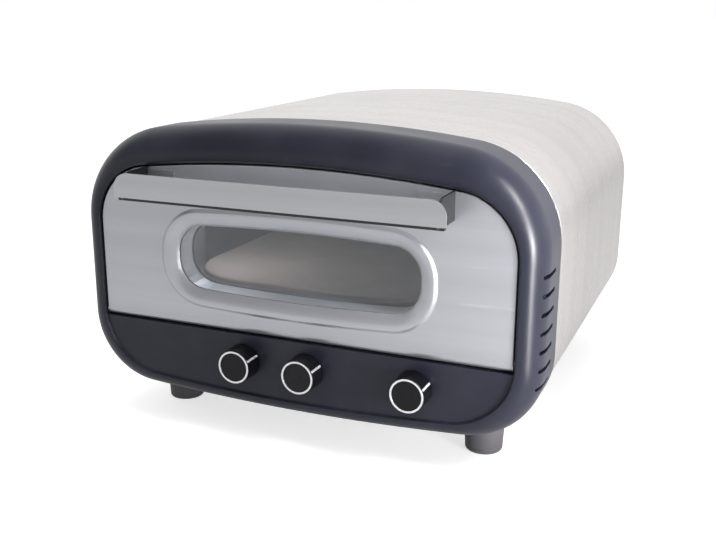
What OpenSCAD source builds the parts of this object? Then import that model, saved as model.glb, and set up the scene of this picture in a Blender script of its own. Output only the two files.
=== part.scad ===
// Countertop electric pizza oven with a drop-down glazed door.
// +X is to the right seen from the front, +Y runs to the back, +Z is up and z = 0 is the worktop.
// Inside the modules y = 0 is the face of the door; place() centres the finished part on the origin.

/* [Body] */
// Width over the front bezel
body_w = 439; // [420:1:480]
// Height of the front bezel
body_h = 261; // [254:0.5:290]
// Depth from the door face to the back edge of the wrap
body_d = 431; // [415:1:480]
// Height of the bezel's lowest point above the worktop
ground_gap = 30; // [26:0.5:42]
// Corner radius of the body at the top
corner_top_r = 86; // [75:0.5:100]
// Corner radius of the body at the bottom
corner_low_r = 66; // [56:0.5:80]
// Rise of the crowned top at its middle
crown_top = 22; // [8:0.5:28]
// Drop of the crowned underside at its middle
crown_low = 10.6; // [6:0.1:16]
// Thickness of the sheet steel parts
sheet_t = 1; // [0.8:0.1:1.2]

/* [Front bezel] */
// Length of the bezel from the door face to its rear edge
bezel_d = 60.5; // [50:0.5:75]
// Depth of the rounded roll at the front
roll_d = 24; // [14:0.5:28]
// How far the crest of the roll stands in front of the door
roll_proud = 3; // [1:0.1:5]
// Width of the rim beside the door
rim_side = 20.5; // [18:0.5:28]
// Height of the rim above the door
rim_top = 32.6; // [28:0.1:40]
// Height of the rolled edge below the fascia
rim_low = 16; // [14:0.5:26]
// Corner radius of the door opening
open_r = 55.8; // [48:0.1:62]
// Crown of the door opening
open_crown = 16.3; // [8:0.1:20]
// Height of the fascia from the lowest point up to the door
fascia_h = 72.4; // [71:0.1:80]
// Corner radius of the fascia at the bottom
fascia_r = 60; // [40:0.5:64]
// Overlap of the bezel's rear lip on the wrap
lip_overlap = 8; // [5:0.5:12]
// Thickness of the rear lip
lip_t = 1.4; // [1.2:0.1:1.5]
// Number of vent slots on each side of the bezel
slot_count = 7; // [3:1:9]
// Distance from one vent slot to the next
slot_pitch = 15.8; // [12:0.1:17]
// Height of one vent slot
slot_h = 3.6; // [2:0.1:5]
// Length of one vent slot
slot_l = 32; // [20:0.5:38]
// Distance of the vent slots behind the door face
slot_front = 9; // [7:0.5:14]
// Height of the lowest vent slot above the bezel's lowest point
slot_low = 57.8; // [54:0.1:70]

/* [Door] */
// Depth of the door from its face to its inner panel
door_t = 30; // [28:0.5:33]
// Gap between the door and the bezel
door_gap = 1.5; // [1.2:0.1:2]
// Gap between the lower edge of the door and the fascia
sill_gap = 0.8; // [0.6:0.1:1.5]
// Depth of the door skin's turned edge
skin_depth = 14; // [10:0.5:16]
// Radius of the rounded lower edge, about the hinge axis
hem_r = 7; // [6.5:0.1:8]
// Angle to which the door drops
door_angle = 90; // [80:1:95]
// Half width of the window
win_half = 118.5; // [100:0.5:125]
// Height of the window
win_h = 68; // [58:0.5:72]
// Height of the window above the lower edge of the door
win_low = 31.7; // [28:0.1:36]
// Corner radius of the window
win_r = 28; // [20:0.5:28]
// Crown of the window's long edges
win_crown = 4; // [2:0.1:6]
// Width of the pressed surround
surround_w = 13; // [10:0.1:15]
// Height of the pressed surround
surround_h = 3.2; // [2:0.1:4]
// How far the inner lip of the surround stands inside the window line
lip_in = 2; // [1:0.5:5]
// Depth of the outer pane behind the door face
lip_depth = 4; // [3:0.5:8]
// Thickness of each pane
pane_t = 3; // [2.5:0.1:4]

/* [Handle] */
// Reach of the handle in front of the door
handle_reach = 41; // [36:0.5:50]
// Half length of the handle
handle_half = 151; // [130:1:160]
// Height of the handle plate
handle_h = 24; // [22:0.5:32]
// Distance from the top of the door opening down to the handle
handle_drop = 9.8; // [8:0.1:16]
// Radius of the handle's upper corners
handle_r = 13; // [6:0.5:16]
// Thickness of the handle plate
handle_t = 2; // [1.5:0.1:3]

/* [Controls] */
// Distance of the first knob from the middle
knob_x1 = -50; // [-70:1:-42]
// Distance of the second knob from the middle
knob_x2 = 13; // [0:1:20]
// Distance of the third knob from the middle
knob_x3 = 114; // [90:1:125]
// Height of the knobs above the bezel's lowest point
knob_rise = 47; // [46:0.5:49]
// Radius of a knob
knob_r = 16.3; // [14:0.1:18]
// How far a knob stands out from the fascia
knob_reach = 20; // [16:0.5:24]
// Gap between a knob and the fascia
knob_gap = 0.8; // [0.5:0.1:1.5]
// Angle of the pointer above the horizontal with the control off
pointer_angle = 27; // [0:1:90]
// Radius of the control shafts
shaft_r = 3; // [2.5:0.1:3.5]
// Running clearance of shafts and pins, on the radius
run_fit = 0.06; // [0.03:0.01:0.1]

/* [Oven] */
// Inner height of the oven
oven_h = 148; // [140:1:152]
// Space between the oven liner and the door stays
stay_space = 10.9; // [8:0.1:16]
// Space between the oven liner and the rear panel
back_space = 20; // [18:0.5:30]
// Space on each side of the baking stone
stone_side = 22; // [20:0.5:30]
// Space in front of the baking stone
stone_front = 32; // [30:0.5:40]
// Space behind the baking stone
stone_back = 13; // [10:0.5:20]
// Thickness of the baking stone
stone_t = 15; // [10:0.5:18]
// Corner radius of the baking stone
stone_r = 70; // [30:1:90]
// Height of the stone's top above the door's lower edge
stone_rise = 28.6; // [27:0.1:32]
// Radius of the heating rod
rod_r = 3.3; // [3:0.1:4]
// Distance between the runs of a heating rod
rod_pitch = 44; // [36:0.5:46]
// Thickness of the insulation
wool_t = 12; // [8:0.5:12]

/* [Feet] */
// Distance of the feet from the side of the bezel
foot_side = 61.5; // [57:0.5:80]
// Distance of the front feet behind the door face
foot_front = 69; // [60:1:100]
// Distance of the rear feet from the back edge
foot_rear = 60; // [50:1:90]
// Radius of a foot at its top
foot_r = 19; // [16:0.5:22]
// Radius of a foot where it stands
foot_low_r = 17; // [13:0.5:18]

/* [Hidden] */
$fn = 48;
corner_steps = 10;
crown_steps = 10;
window_steps = 6;
reach = 2 * (body_w + body_h + body_d);

// Levels and half widths shared by neighbouring pieces
half_w = body_w / 2;
bot_z = ground_gap;
top_z = bot_z + body_h;
mid_y = (body_d - handle_reach) / 2;
open_half = half_w - rim_side;
open_top = top_z - rim_top;
open_low = bot_z + rim_low;
door_low = bot_z + fascia_h;
sill_z = door_low - sill_gap;
axis_y = hem_r;
axis_z = door_low + hem_r;
stone_top = door_low + stone_rise;
knob_z = bot_z + knob_rise;

// Insets from the outer line of the body
wrap_in = lip_t + 0.1;
wrap_inner = wrap_in + sheet_t;
bezel_wall = wrap_inner;
base_inner = wrap_inner + sheet_t;
frame_in = 6;

// Insets from the line of the door opening
throat_t = 2.5;
throat_y = 1.5;
skin_in = door_gap;
pan_in = skin_in + sheet_t;
mouth_in = 18;
seal_gap = 3;
seal_w = 5;
seal_t = 3.2;
seal_clear = 0.8;
mouth_z = stone_top - stone_t;
throat_d = door_t + seal_clear + seal_t;
frame_y = throat_d;
liner_y = frame_y + sheet_t;
liner_z = door_low - 6.4;
roof_z = liner_z + oven_h;
pan_y = 2;
pan_low = axis_z - 2;
rear_gap = 9;
rear_y = body_d - rear_gap - sheet_t;
liner_back = rear_y - back_space;

// Window and panes
win_z = door_low + win_low;
pane_lap = 5;
pane1_y = lip_depth;
pane2_y = door_t - sheet_t - pane_t;

// Hinge, stays and handle
pin_r = 3;
pin_head_r = 5;
pin_head_t = 2;
bush_wall = 2;
hinge_x = open_half + throat_t + 2.5;
hinge_t = 2;
hinge_low = 10;
hinge_high = 16;
hinge_edge = 3;
hinge_flange = half_w - bezel_wall - hinge_edge - hinge_x;
stay_r1 = 45;
stay_r2 = 53;
stay_t = 1.6;
stay_stop = 5;
stay_x = open_half - pan_in - sheet_t - stay_t;
stay_slot_gap = 0.9;
stop_gap = 0.8;
liner_half = stay_x - stay_space - sheet_t;
handle_top = open_top - handle_drop;
handle_low = handle_top - handle_h;
leg_in = 6;
leg_x = handle_half - leg_in;
tab_l = 30;
tab_t = 2;
tab_screws = [14, 26];

// Stone, rods and rails
tray_t = 1.2;
tray_gap = 0.5;
tray_drop = 4;
stone_half = liner_half - stone_side;
stone_y0 = liner_y + stone_front;
stone_y1 = liner_back - sheet_t - stone_back;
tray_z = stone_top - stone_t - tray_t;
rod_runs = 6;
rod_front_gap = 44;
rod_back_gap = 14;
rod_roof_gap = 12;
rod_floor_gap = 8.5;
rod_front = liner_y + rod_front_gap;
rod_back = liner_back - rod_back_gap;
upper_rod_z = roof_z - rod_roof_gap;
lower_rod_z = liner_z + rod_floor_gap;
rod_half = rod_pitch * (rod_runs - 1) / 2;
rod_tail_gap = 5;
bar_w = 8;
bar_front = 70;
bar_back = 80;
bar_end = 10;

// Controls
bracket_y = roll_d - 7;
bushing_r = 5;
nut_t = 2.5;
body_y = bracket_y + 1.2;
control_r = 16;
control_l = 17;
timer_w = 42;
timer_h = 34;
timer_l = 28;
pointer_w = 1.6;
knob_bore = 13;

// ---- outlines in the X-Z plane ---------------------------------------------------------------

function arc(cx, cz, r, a0, a1, n) =
    [for (i = [0:n]) let (t = a0 + (a1 - a0) * i / n) [cx + r * cos(t), cz + r * sin(t)]];

function inner_steps(list) = [for (i = [1:len(list) - 2]) list[i]];

// A rounded shape with straight sides and crowned top and bottom, moved in by d.
// h = [half width, top, bottom], r = [top corner, bottom corner], s = [top crown, bottom crown]
function crowned(h, r, s, d, nc, nt) =
    let (
        rt = (h[0] * h[0] + s[0] * s[0]) / (2 * s[0]),
        ct = h[1] - rt,
        xt = h[0] - r[0],
        zt = ct + sqrt((rt - r[0]) * (rt - r[0]) - xt * xt),
        at = atan2(zt - ct, xt),
        rb = (h[0] * h[0] + s[1] * s[1]) / (2 * s[1]),
        cb = h[2] + rb,
        xb = h[0] - r[1],
        zb = cb - sqrt((rb - r[1]) * (rb - r[1]) - xb * xb),
        ab = atan2(cb - zb, xb)
    ) concat(
        arc(xt, zt, r[0] - d, 0, at, nc),
        inner_steps(arc(0, ct, rt - d, at, 180 - at, nt)),
        arc(-xt, zt, r[0] - d, 180 - at, 180, nc),
        arc(-xb, zb, r[1] - d, 180, 180 + ab, nc),
        inner_steps(arc(0, cb, rb - d, 180 + ab, 360 - ab, nt)),
        arc(xb, zb, r[1] - d, 360 - ab, 360, nc)
    );

function body_line(d) = crowned([half_w, top_z, bot_z], [corner_top_r, corner_low_r],
    [crown_top, crown_low], d, corner_steps, crown_steps);

function open_line(d) = crowned([open_half, open_top, open_low], [open_r, fascia_r],
    [open_crown, crown_low], d, corner_steps, crown_steps);

function window_line(d) = crowned([win_half, win_z + win_h, win_z], [win_r, win_r],
    [win_crown, win_crown], d, window_steps, window_steps);

function mix(a, b, w) = [for (i = [0:len(a) - 1]) a[i] * (1 - w) + b[i] * w];

function ring(line, y) = [for (p = line) [p[0], y, p[1]]];

// ---- shared building blocks ------------------------------------------------------------------

module place() translate([0, -mid_y, 0]) children();

module prism(line, y0, y1)
    translate([0, y1, 0]) rotate([90, 0, 0]) linear_extrude(y1 - y0) polygon(line);

module block(x0, x1, y0, y1, z0, z1) translate([x0, y0, z0]) cube([x1 - x0, y1 - y0, z1 - z0]);

module above(z) translate([-reach / 2, -reach / 2, z]) cube(reach);

module below(z) translate([-reach / 2, -reach / 2, z - reach]) cube(reach);

module rod_x(r, x0, x1, y, z) translate([x0, y, z]) rotate([0, 90, 0]) cylinder(r = r, h = x1 - x0);

module rod_y(r, y0, y1, x, z) translate([x, y0, z]) rotate([-90, 0, 0]) cylinder(r = r, h = y1 - y0);

module rod_z(r, z0, z1, x, y) translate([x, y, z0]) cylinder(r = r, h = z1 - z0);

module mirrored() {
    children();
    mirror([1, 0, 0]) children();
}

// Solid whose cross-section changes along Y; every ring has the same number of points
module loft(rings) {
    n = len(rings[0]);
    m = len(rings);
    polyhedron(
        points = [for (r = rings) each r],
        faces = concat(
            [[for (i = [n - 1:-1:0]) i]],
            [for (k = [0:m - 2], i = [0:n - 1]) let (a = k * n + i, b = k * n + (i + 1) % n)
                each [[a, b, b + n], [a, b + n, a + n]]],
            [[for (i = [0:n - 1]) (m - 1) * n + i]]
        ),
        convexity = 8
    );
}

// Closed hoop: the last ring joins the first
module hoop(rings) {
    n = len(rings[0]);
    m = len(rings);
    polyhedron(
        points = [for (r = rings) each r],
        faces = [for (k = [0:m - 1], i = [0:n - 1])
            let (j = (i + 1) % n, q = ((k + 1) % m) * n)
            each [[k * n + i, k * n + j, q + j], [k * n + i, q + j, q + i]]],
        convexity = 8
    );
}

// The door opening moved in by d, cut off level at z
module opening(d, z, y0, y1) {
    intersection() {
        prism(open_line(d), y0, y1);
        above(z);
    }
}

module inside_body(d) {
    intersection() {
        children();
        prism(body_line(d), -reach / 4, reach / 4);
    }
}

// ---- housing ---------------------------------------------------------------------------------

roll_steps = [0, 22.5, 45, 67.5, 90];
crest = 0.9;

// Rounded roll of the bezel; t = 0 gives its outer face and t = bezel_wall its inner face
module roll_solid(t, back) {
    body = body_line(t);
    door = open_line(0);
    loft(concat(
        [ring(door, t)],
        [for (i = [len(roll_steps) - 1:-1:0]) let (a = roll_steps[i])
            ring(mix(body, door, crest * (1 - cos(a))), roll_d - (roll_d + roll_proud - t) * sin(a))],
        [ring(body, back)]
    ));
}

module vent_slots() {
    for (i = [0:slot_count - 1], side = [-1, 1]) {
        z = bot_z + slot_low + i * slot_pitch;
        x = side * half_w;
        block(x - rim_side / 2, x + rim_side / 2, slot_front, slot_front + slot_l, z - slot_h / 2, z + slot_h / 2);
    }
}

module front_bezel() color([0.17, 0.17, 0.2]) place() {
    difference() {
        union() {
            difference() {
                roll_solid(0, bezel_d);
                roll_solid(bezel_wall, bezel_d + 1);
            }
            opening(-throat_t, sill_z - throat_t, throat_y, throat_d);
        }
        opening(0, sill_z, -roll_proud - 1, throat_d + 1);
        prism(body_line(lip_t), bezel_d - lip_overlap - 0.5, bezel_d + 1);
        vent_slots();
        for (x = [knob_x1, knob_x2, knob_x3]) rod_y(shaft_r + 1, -1, bezel_wall + 1, x, knob_z);
        rod_x(pin_r + 1, -half_w + rim_side / 2, half_w - rim_side / 2, axis_y, axis_z);
    }
}

wrap_y = bezel_d - lip_overlap;
base_side = 52.5;
base_half = half_w - base_side;
base_y = roll_d + 0.2;
belly_lap = 60;
belly_half = base_half - belly_lap;
screw_side = 34;
screw_x = base_half - screw_side;
screw_front = 110;
screw_mid = 181;
screw_back = 36;
screw_ys = [screw_front, body_d - screw_mid, body_d - screw_back];
foot_x = half_w - foot_side;

module outer_shell() color([0.83, 0.81, 0.8]) place() {
    difference() {
        prism(body_line(wrap_in), wrap_y, body_d);
        prism(body_line(wrap_inner), wrap_y - 1, body_d + 1);
        block(-belly_half, belly_half, wrap_y - 1, body_d + 1, 0, bot_z + 40);
        for (x = [-screw_x, screw_x], y = screw_ys) rod_z(screw_r + 0.1, 0, bot_z + 30, x, y);
        for (x = [-foot_x, foot_x], y = foot_ys) rod_z(foot_screw_r + 0.2, 0, bot_z + 30, x, y);
    }
}

screw_r = 1.6;
screw_head_r = 3.4;
screw_head_t = 1.8;
foot_screw_r = 2.5;
foot_recess = 12;
foot_sink = 20;
foot_edge = 2.5;
foot_ys = [foot_front, body_d - foot_rear];

module base_plate() color([0.6, 0.6, 0.6]) place() {
    difference() {
        prism(body_line(wrap_inner), base_y, rear_y);
        prism(body_line(base_inner), base_y - 1, rear_y + 1);
        above(bot_z + 40);
        mirrored() block(base_half, half_w, 0, body_d, 0, bot_z + 60);
        for (x = [-screw_x, screw_x], y = screw_ys) rod_z(screw_r + 0.1, 0, bot_z + 30, x, y);
        for (x = [-foot_x, foot_x], y = foot_ys) rod_z(foot_screw_r + 0.2, 0, bot_z + 30, x, y);
        for (i = [-4:4], j = [0:3])
            block(i * vent_pitch - vent_w / 2, i * vent_pitch + vent_w / 2, vent_front + j * vent_row,
                vent_front + j * vent_row + vent_l, bot_z - 1, bot_z + 20);
    }
}

vent_front = 90;
vent_row = 75;
vent_l = 40;
vent_w = 6;
vent_pitch = 20;

standoff_side = 32;
standoff_x = liner_half - standoff_side;
standoff_edge = 24;
standoff_zs = [liner_z + standoff_edge, roof_z - standoff_edge];
standoff_bore = 12;
inlet_side = 79.5;
inlet_x = half_w - inlet_side;
inlet_rise = 38;
inlet_z = bot_z + inlet_rise;
inlet_w = 27;
inlet_h = 20;
flange_d = 8;
louvre_pitch = 48;
louvre_half = 19;
louvre_row = 9;
louvre_h = 4;
louvre_drop = 62;
low_louvre_x0 = -120;
low_louvre_x1 = -40;
low_louvre_drop = 14;

module rear_panel() color([0.62, 0.62, 0.62]) place() {
    difference() {
        union() {
            prism(body_line(wrap_inner), rear_y, rear_y + sheet_t);
            difference() {
                prism(body_line(wrap_inner), rear_y - flange_d, rear_y + sheet_t);
                prism(body_line(base_inner), rear_y - flange_d - 1, rear_y + sheet_t + 1);
                below(bot_z + 60);
            }
        }
        for (x = [-1, 1] * standoff_x, z = standoff_zs) rod_y(2.2, rear_y - 1, body_d, x, z);
        for (i = [-2:2], j = [0:6])
            louvre(i * louvre_pitch - louvre_half, i * louvre_pitch + louvre_half,
                roof_z - louvre_drop + j * louvre_row);
        for (j = [0:3]) louvre(low_louvre_x0, low_louvre_x1, inlet_z - low_louvre_drop + j * louvre_row);
        block(inlet_x - inlet_w / 2 - 0.2, inlet_x + inlet_w / 2 + 0.2, rear_y - 1, body_d,
            inlet_z - inlet_h / 2 - 0.2, inlet_z + inlet_h / 2 + 0.2);
        for (s = [-1, 1]) rod_y(screw_r + 0.1, rear_y - 1, body_d, inlet_x + s * inlet_hole, inlet_z);
    }
}

module louvre(x0, x1, z) block(x0, x1, rear_y - 1, body_d, z, z + louvre_h);

inlet_hole = 20;
inlet_ear = 5;
inlet_wall = 2;
inlet_d = 16;
socket_d = 12;
collar_t = 2.5;

module power_inlet() color([0.08, 0.08, 0.08]) place() {
    difference() {
        union() {
            block(inlet_x - inlet_w / 2, inlet_x + inlet_w / 2, rear_y - inlet_d, rear_y + sheet_t + 1,
                inlet_z - inlet_h / 2, inlet_z + inlet_h / 2);
            block(inlet_x - inlet_hole - inlet_ear, inlet_x + inlet_hole + inlet_ear,
                rear_y + sheet_t, rear_y + sheet_t + collar_t,
                inlet_z - inlet_h / 2 - inlet_wall, inlet_z + inlet_h / 2 + inlet_wall);
        }
        block(inlet_x - inlet_w / 2 + inlet_wall, inlet_x + inlet_w / 2 - inlet_wall, rear_y - socket_d, body_d,
            inlet_z - inlet_h / 2 + inlet_wall, inlet_z + inlet_h / 2 - inlet_wall);
        for (s = [-1, 1]) rod_y(screw_r + 0.1, rear_y, body_d, inlet_x + s * inlet_hole, inlet_z);
    }
}

pin_pitch = 7;
pin_rise = 2;

module inlet_pins() color([0.75, 0.7, 0.55]) place() {
    for (i = [-1:1]) {
        z = inlet_z + (i == 0 ? pin_rise : -pin_rise);
        block(inlet_x + i * pin_pitch - 1, inlet_x + i * pin_pitch + 1, rear_y - socket_d, rear_y - 1,
            z - 2, z + 2);
    }
}

// ---- oven ------------------------------------------------------------------------------------

module front_frame() color([0.5, 0.5, 0.5]) place() {
    difference() {
        intersection() {
            prism(body_line(frame_in), frame_y, frame_y + sheet_t);
            above(liner_z + 1);
        }
        opening(mouth_in, mouth_z, frame_y - 1, frame_y + sheet_t + 1);
        mirrored() block(stay_x - 0.5, stay_x + stay_t + 0.5, frame_y - 1, frame_y + sheet_t + 1,
            axis_z + stay_height(stay_r1, frame_y + sheet_t) - stay_slot_gap,
            axis_z + stay_height(stay_r2, frame_y) + stay_slot_gap);
    }
}

// Height above the hinge axis at which a circle of radius r about it crosses depth y
function stay_height(r, y) = sqrt(r * r - (y - axis_y) * (y - axis_y));

module door_seal() color([0.3, 0.3, 0.3]) place() {
    difference() {
        opening(mouth_in - seal_gap - seal_w, mouth_z - seal_gap - seal_w, frame_y - seal_t, frame_y);
        opening(mouth_in - seal_gap, mouth_z - seal_gap, frame_y - seal_t - 1, frame_y + 1);
    }
}

module rod_holes(r, y0, y1) {
    for (x = [-rod_half, rod_half], z = [upper_rod_z, lower_rod_z]) rod_y(r, y0, y1, x, z);
}

cutout_x = 30;
cutout_z = liner_z + oven_h / 2;

module oven_liner() color([0.55, 0.55, 0.55]) place() {
    difference() {
        block(-liner_half - sheet_t, liner_half + sheet_t, liner_y, liner_back,
            liner_z - sheet_t, roof_z + sheet_t);
        block(-liner_half, liner_half, liner_y - 1, liner_back - sheet_t, liner_z, roof_z);
        rod_holes(bush_r + 0.1, liner_back - 5, liner_back + 1);
    }
}

bush_r = 5.5;
bush_flange_r = 8;
bush_in = 3;
bush_out = 12;
jacket_front = 36;
jacket_press = 2;

module element_bushes() color([0.93, 0.91, 0.86]) place() {
    for (x = [-rod_half, rod_half], z = [upper_rod_z, lower_rod_z]) difference() {
        union() {
            rod_y(bush_r, liner_back - sheet_t - bush_in, liner_back + bush_out, x, z);
            intersection() {
                rod_y(bush_flange_r, liner_back - sheet_t - bush_in, liner_back - sheet_t, x, z);
                block(-liner_half, liner_half, 0, body_d, liner_z + 0.1, roof_z - 0.1);
            }
        }
        rod_y(rod_r + 0.05, 0, body_d, x, z);
    }
}

module insulation_jacket() color([0.85, 0.83, 0.76]) place() {
    inside_body(frame_in) difference() {
        block(-liner_half - sheet_t - wool_t, liner_half + sheet_t + wool_t, liner_y + jacket_front,
            liner_back + wool_t - jacket_press, liner_z - sheet_t - wool_t, roof_z + sheet_t + wool_t);
        block(-liner_half - sheet_t, liner_half + sheet_t, liner_y, liner_back,
            liner_z - sheet_t, roof_z + sheet_t);
        rod_holes(bush_r + 0.5, liner_back - 1, body_d);
        for (x = [-1, 1] * standoff_x, z = standoff_zs)
            rod_y(standoff_r + 0.3, liner_back - 1, body_d, x, z);
        rod_y(cutout_r + 0.5, liner_back - 1, body_d, cutout_x, cutout_z);
        block(-liner_half, liner_half, 0, timer_back + 4, liner_z - wool_t - 10, liner_z - sheet_t);
    }
}

timer_back = bracket_y + 1.2 + timer_l;
standoff_r = 5;
cutout_r = 8;

module rear_standoffs() color([0.7, 0.7, 0.7]) place() {
    for (x = [-1, 1] * standoff_x, z = standoff_zs) difference() {
        rod_y(standoff_r, liner_back, rear_y, x, z);
        rod_y(rear_screw_r + 0.1, rear_y - standoff_bore, rear_y + 1, x, z);
    }
}

rear_screw_r = 2;

module rear_screws() color([0.75, 0.75, 0.75]) place() {
    for (x = [-1, 1] * standoff_x, z = standoff_zs) {
        rod_y(rear_screw_r, rear_y - standoff_bore + 2, rear_y + sheet_t + 1, x, z);
        pan_head_y(3.8, 2.4, rear_y + sheet_t, x, z);
    }
    for (s = [-1, 1]) {
        rod_y(screw_r, rear_y - 6, rear_y + 4, inlet_x + s * inlet_hole, inlet_z);
        pan_head_y(3, 1.6, rear_y + sheet_t + collar_t, inlet_x + s * inlet_hole, inlet_z);
    }
}

// Screw head with a cross recess, its seat at y and its top towards +Y
module pan_head_y(r, t, y, x, z) {
    difference() {
        translate([x, y, z]) rotate([-90, 0, 0]) cylinder(r1 = r, r2 = r * 0.72, h = t);
        block(x - r / 2, x + r / 2, y + t * 0.45, y + t + 1, z - r / 9, z + r / 9);
        block(x - r / 9, x + r / 9, y + t * 0.45, y + t + 1, z - r / 2, z + r / 2);
    }
}

// Heating rod with six runs; the outer runs leave through the rear wall
module rod_coil(z) {
    bend = rod_pitch / 2;
    for (i = [0:rod_runs - 1]) {
        outer = i == 0 || i == rod_runs - 1;
        tail = outer ? rear_y - rod_tail_gap : rod_back - bend;
        rod_y(rod_r, rod_front + bend, tail, i * rod_pitch - rod_half, z);
    }
    for (i = [0:2:rod_runs - 2]) translate([(i + 0.5) * rod_pitch - rod_half, rod_front + bend, z])
        rotate([0, 0, 180]) rotate_extrude(angle = 180) translate([bend, 0]) circle(r = rod_r);
    for (i = [1:2:rod_runs - 2]) translate([(i + 0.5) * rod_pitch - rod_half, rod_back - bend, z])
        rotate_extrude(angle = 180) translate([bend, 0]) circle(r = rod_r);
}

module upper_element() color([0.35, 0.33, 0.32]) place() rod_coil(upper_rod_z);

module lower_element() color([0.35, 0.33, 0.32]) place() rod_coil(lower_rod_z);

bar_ys = [rod_front + bar_front, rod_back - bar_back];

// Notched bars that hold the runs of a rod
module rod_bars(z, z0, z1) {
    difference() {
        for (y = bar_ys) block(-rod_half - bar_end, rod_half + bar_end, y - bar_w / 2, y + bar_w / 2, z0, z1);
        for (i = [0:rod_runs - 1]) rod_y(rod_r + 0.02, 0, body_d, i * rod_pitch - rod_half, z);
    }
}

module upper_element_bars() color([0.6, 0.6, 0.6]) place() rod_bars(upper_rod_z, upper_rod_z, roof_z);

module lower_element_bars() color([0.6, 0.6, 0.6]) place() rod_bars(lower_rod_z, liner_z, lower_rod_z);

rail_lap = 4;
rail_w = stone_side + rail_lap;
rail_front = 8;
rail_back = 12;
rail_h = 12;

module stone_rails() color([0.6, 0.6, 0.6]) place() mirrored() {
    y0 = liner_y + rail_front;
    y1 = liner_back - rail_back;
    block(liner_half - rail_w, liner_half, y0, y1, tray_z - sheet_t, tray_z);
    block(liner_half - sheet_t, liner_half, y0, y1, tray_z - rail_h, tray_z);
}

// Rounded plate in plan, grown by g, from z0 to z1
module slab(g, z0, z1) {
    r = stone_r + g;
    x = stone_half - stone_r;
    y0 = stone_y0 + stone_r;
    y1 = stone_y1 - stone_r;
    translate([0, 0, z0]) linear_extrude(z1 - z0) polygon(concat(
        arc(x, y1, r, 0, 90, 12), arc(-x, y1, r, 90, 180, 12),
        arc(-x, y0, r, 180, 270, 12), arc(x, y0, r, 270, 360, 12)));
}

module stone_tray() color([0.75, 0.75, 0.75]) place() {
    difference() {
        slab(tray_gap + tray_t, tray_z, stone_top - tray_drop);
        slab(tray_gap, tray_z + tray_t, stone_top);
    }
}

module pizza_stone() color([0.72, 0.66, 0.6]) place() slab(0, tray_z + tray_t, stone_top);

module thermal_cutout() color([0.2, 0.2, 0.2]) place() {
    rod_y(cutout_r, liner_back, liner_back + 7, cutout_x, cutout_z);
    for (s = [-1, 1]) block(cutout_x + s * 4 - 0.4, cutout_x + s * 4 + 0.4,
        liner_back + 6, liner_back + 15, cutout_z - 3, cutout_z + 3);
}

// ---- controls --------------------------------------------------------------------------------

bracket_side = 32;
bracket_x0 = knob_x1 - bracket_side;
bracket_x1 = knob_x3 + bracket_side;
bracket_foot = 16;

module control_bracket() color([0.65, 0.65, 0.65]) place() {
    inside_body(base_inner) difference() {
        union() {
            block(bracket_x0, bracket_x1, bracket_y, body_y, 0, liner_z - 2);
            block(bracket_x0, bracket_x1, bracket_y, bracket_y + bracket_foot, 0, bot_z + crown_low + 5);
        }
        for (x = [knob_x1, knob_x2, knob_x3]) rod_y(bushing_r + 0.1, 0, body_y + 1, x, knob_z);
    }
}

// Bored bushing through the bracket, in front of a control's case at depth body_y
module control_neck(x) {
    rod_y(bushing_r, bracket_y - 7, body_y + 2, x, knob_z);
}

module control_bore(x, depth) rod_y(shaft_r + run_fit, 0, body_y + depth, x, knob_z);

blade_x = 8;
blade_w = 6;
blade_l = 8;
blade_t = 0.8;
blade_drop = 10.4;
blade_z = knob_z - blade_drop;

module thermostat(x) {
    difference() {
        union() {
            control_neck(x);
            rod_y(control_r, body_y, body_y + control_l, x, knob_z);
            for (s = [-1, 1]) block(x + s * blade_x - blade_w / 2, x + s * blade_x + blade_w / 2,
                body_y + control_l - 1, body_y + control_l + blade_l, blade_z, blade_z + blade_t);
        }
        control_bore(x, 12);
    }
}

module upper_thermostat() color([0.7, 0.68, 0.6]) place() thermostat(knob_x1);

module lower_thermostat() color([0.7, 0.68, 0.6]) place() thermostat(knob_x2);

module timer_unit() color([0.7, 0.68, 0.6]) place() {
    difference() {
        union() {
            control_neck(knob_x3);
            block(knob_x3 - timer_w / 2, knob_x3 + timer_w / 2, body_y, body_y + timer_l,
                knob_z - timer_h / 2, knob_z + timer_h / 2);
            rod_y(timer_h / 2 - 2, body_y + timer_l - 1, body_y + timer_l + 6, knob_x3, knob_z);
        }
        control_bore(knob_x3, 12);
    }
}

module control_nuts() color([0.75, 0.72, 0.6]) place() {
    for (x = [knob_x1, knob_x2, knob_x3]) difference() {
        translate([x, bracket_y - nut_t, knob_z]) rotate([-90, 0, 0]) cylinder(r = 8, h = nut_t, $fn = 6);
        rod_y(bushing_r + 0.1, 0, bracket_y + 1, x, knob_z);
    }
}

terminal_side = 137.5;
terminal_x = half_w - terminal_side;
terminal_w = 50;
terminal_d = 20;
terminal_h = 28;
terminal_gap = 40;
terminal_pitch = 12;

module terminal_block() color([0.9, 0.9, 0.88]) place() {
    y1 = rear_y - terminal_gap;
    y0 = y1 - terminal_d;
    inside_body(base_inner) difference() {
        block(terminal_x - terminal_w / 2, terminal_x + terminal_w / 2, y0, y1, 0, bot_z + terminal_h);
        for (i = [-1.5:1.5])
            rod_z(2, bot_z + terminal_h - 10, bot_z + terminal_h + 1,
                terminal_x + i * terminal_pitch, (y0 + y1) / 2);
    }
}

module shaft(x) {
    difference() {
        rod_y(shaft_r, -knob_reach + 4, body_y + 11, x, knob_z);
        rotate_about(x) block(x - shaft_r, x + shaft_r, -knob_reach, -knob_gap,
            knob_z + shaft_r - 1, knob_z + shaft_r + 1);
    }
}

module rotate_about(x) translate([x, 0, knob_z]) rotate([0, -pointer_angle, 0])
    translate([-x, 0, -knob_z]) children();

skirt_r = knob_r - 0.7;
ring_r = knob_r - 1.3;
ring_w = 1.5;
ring_d = 0.8;
face_d = 0.6;

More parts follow.
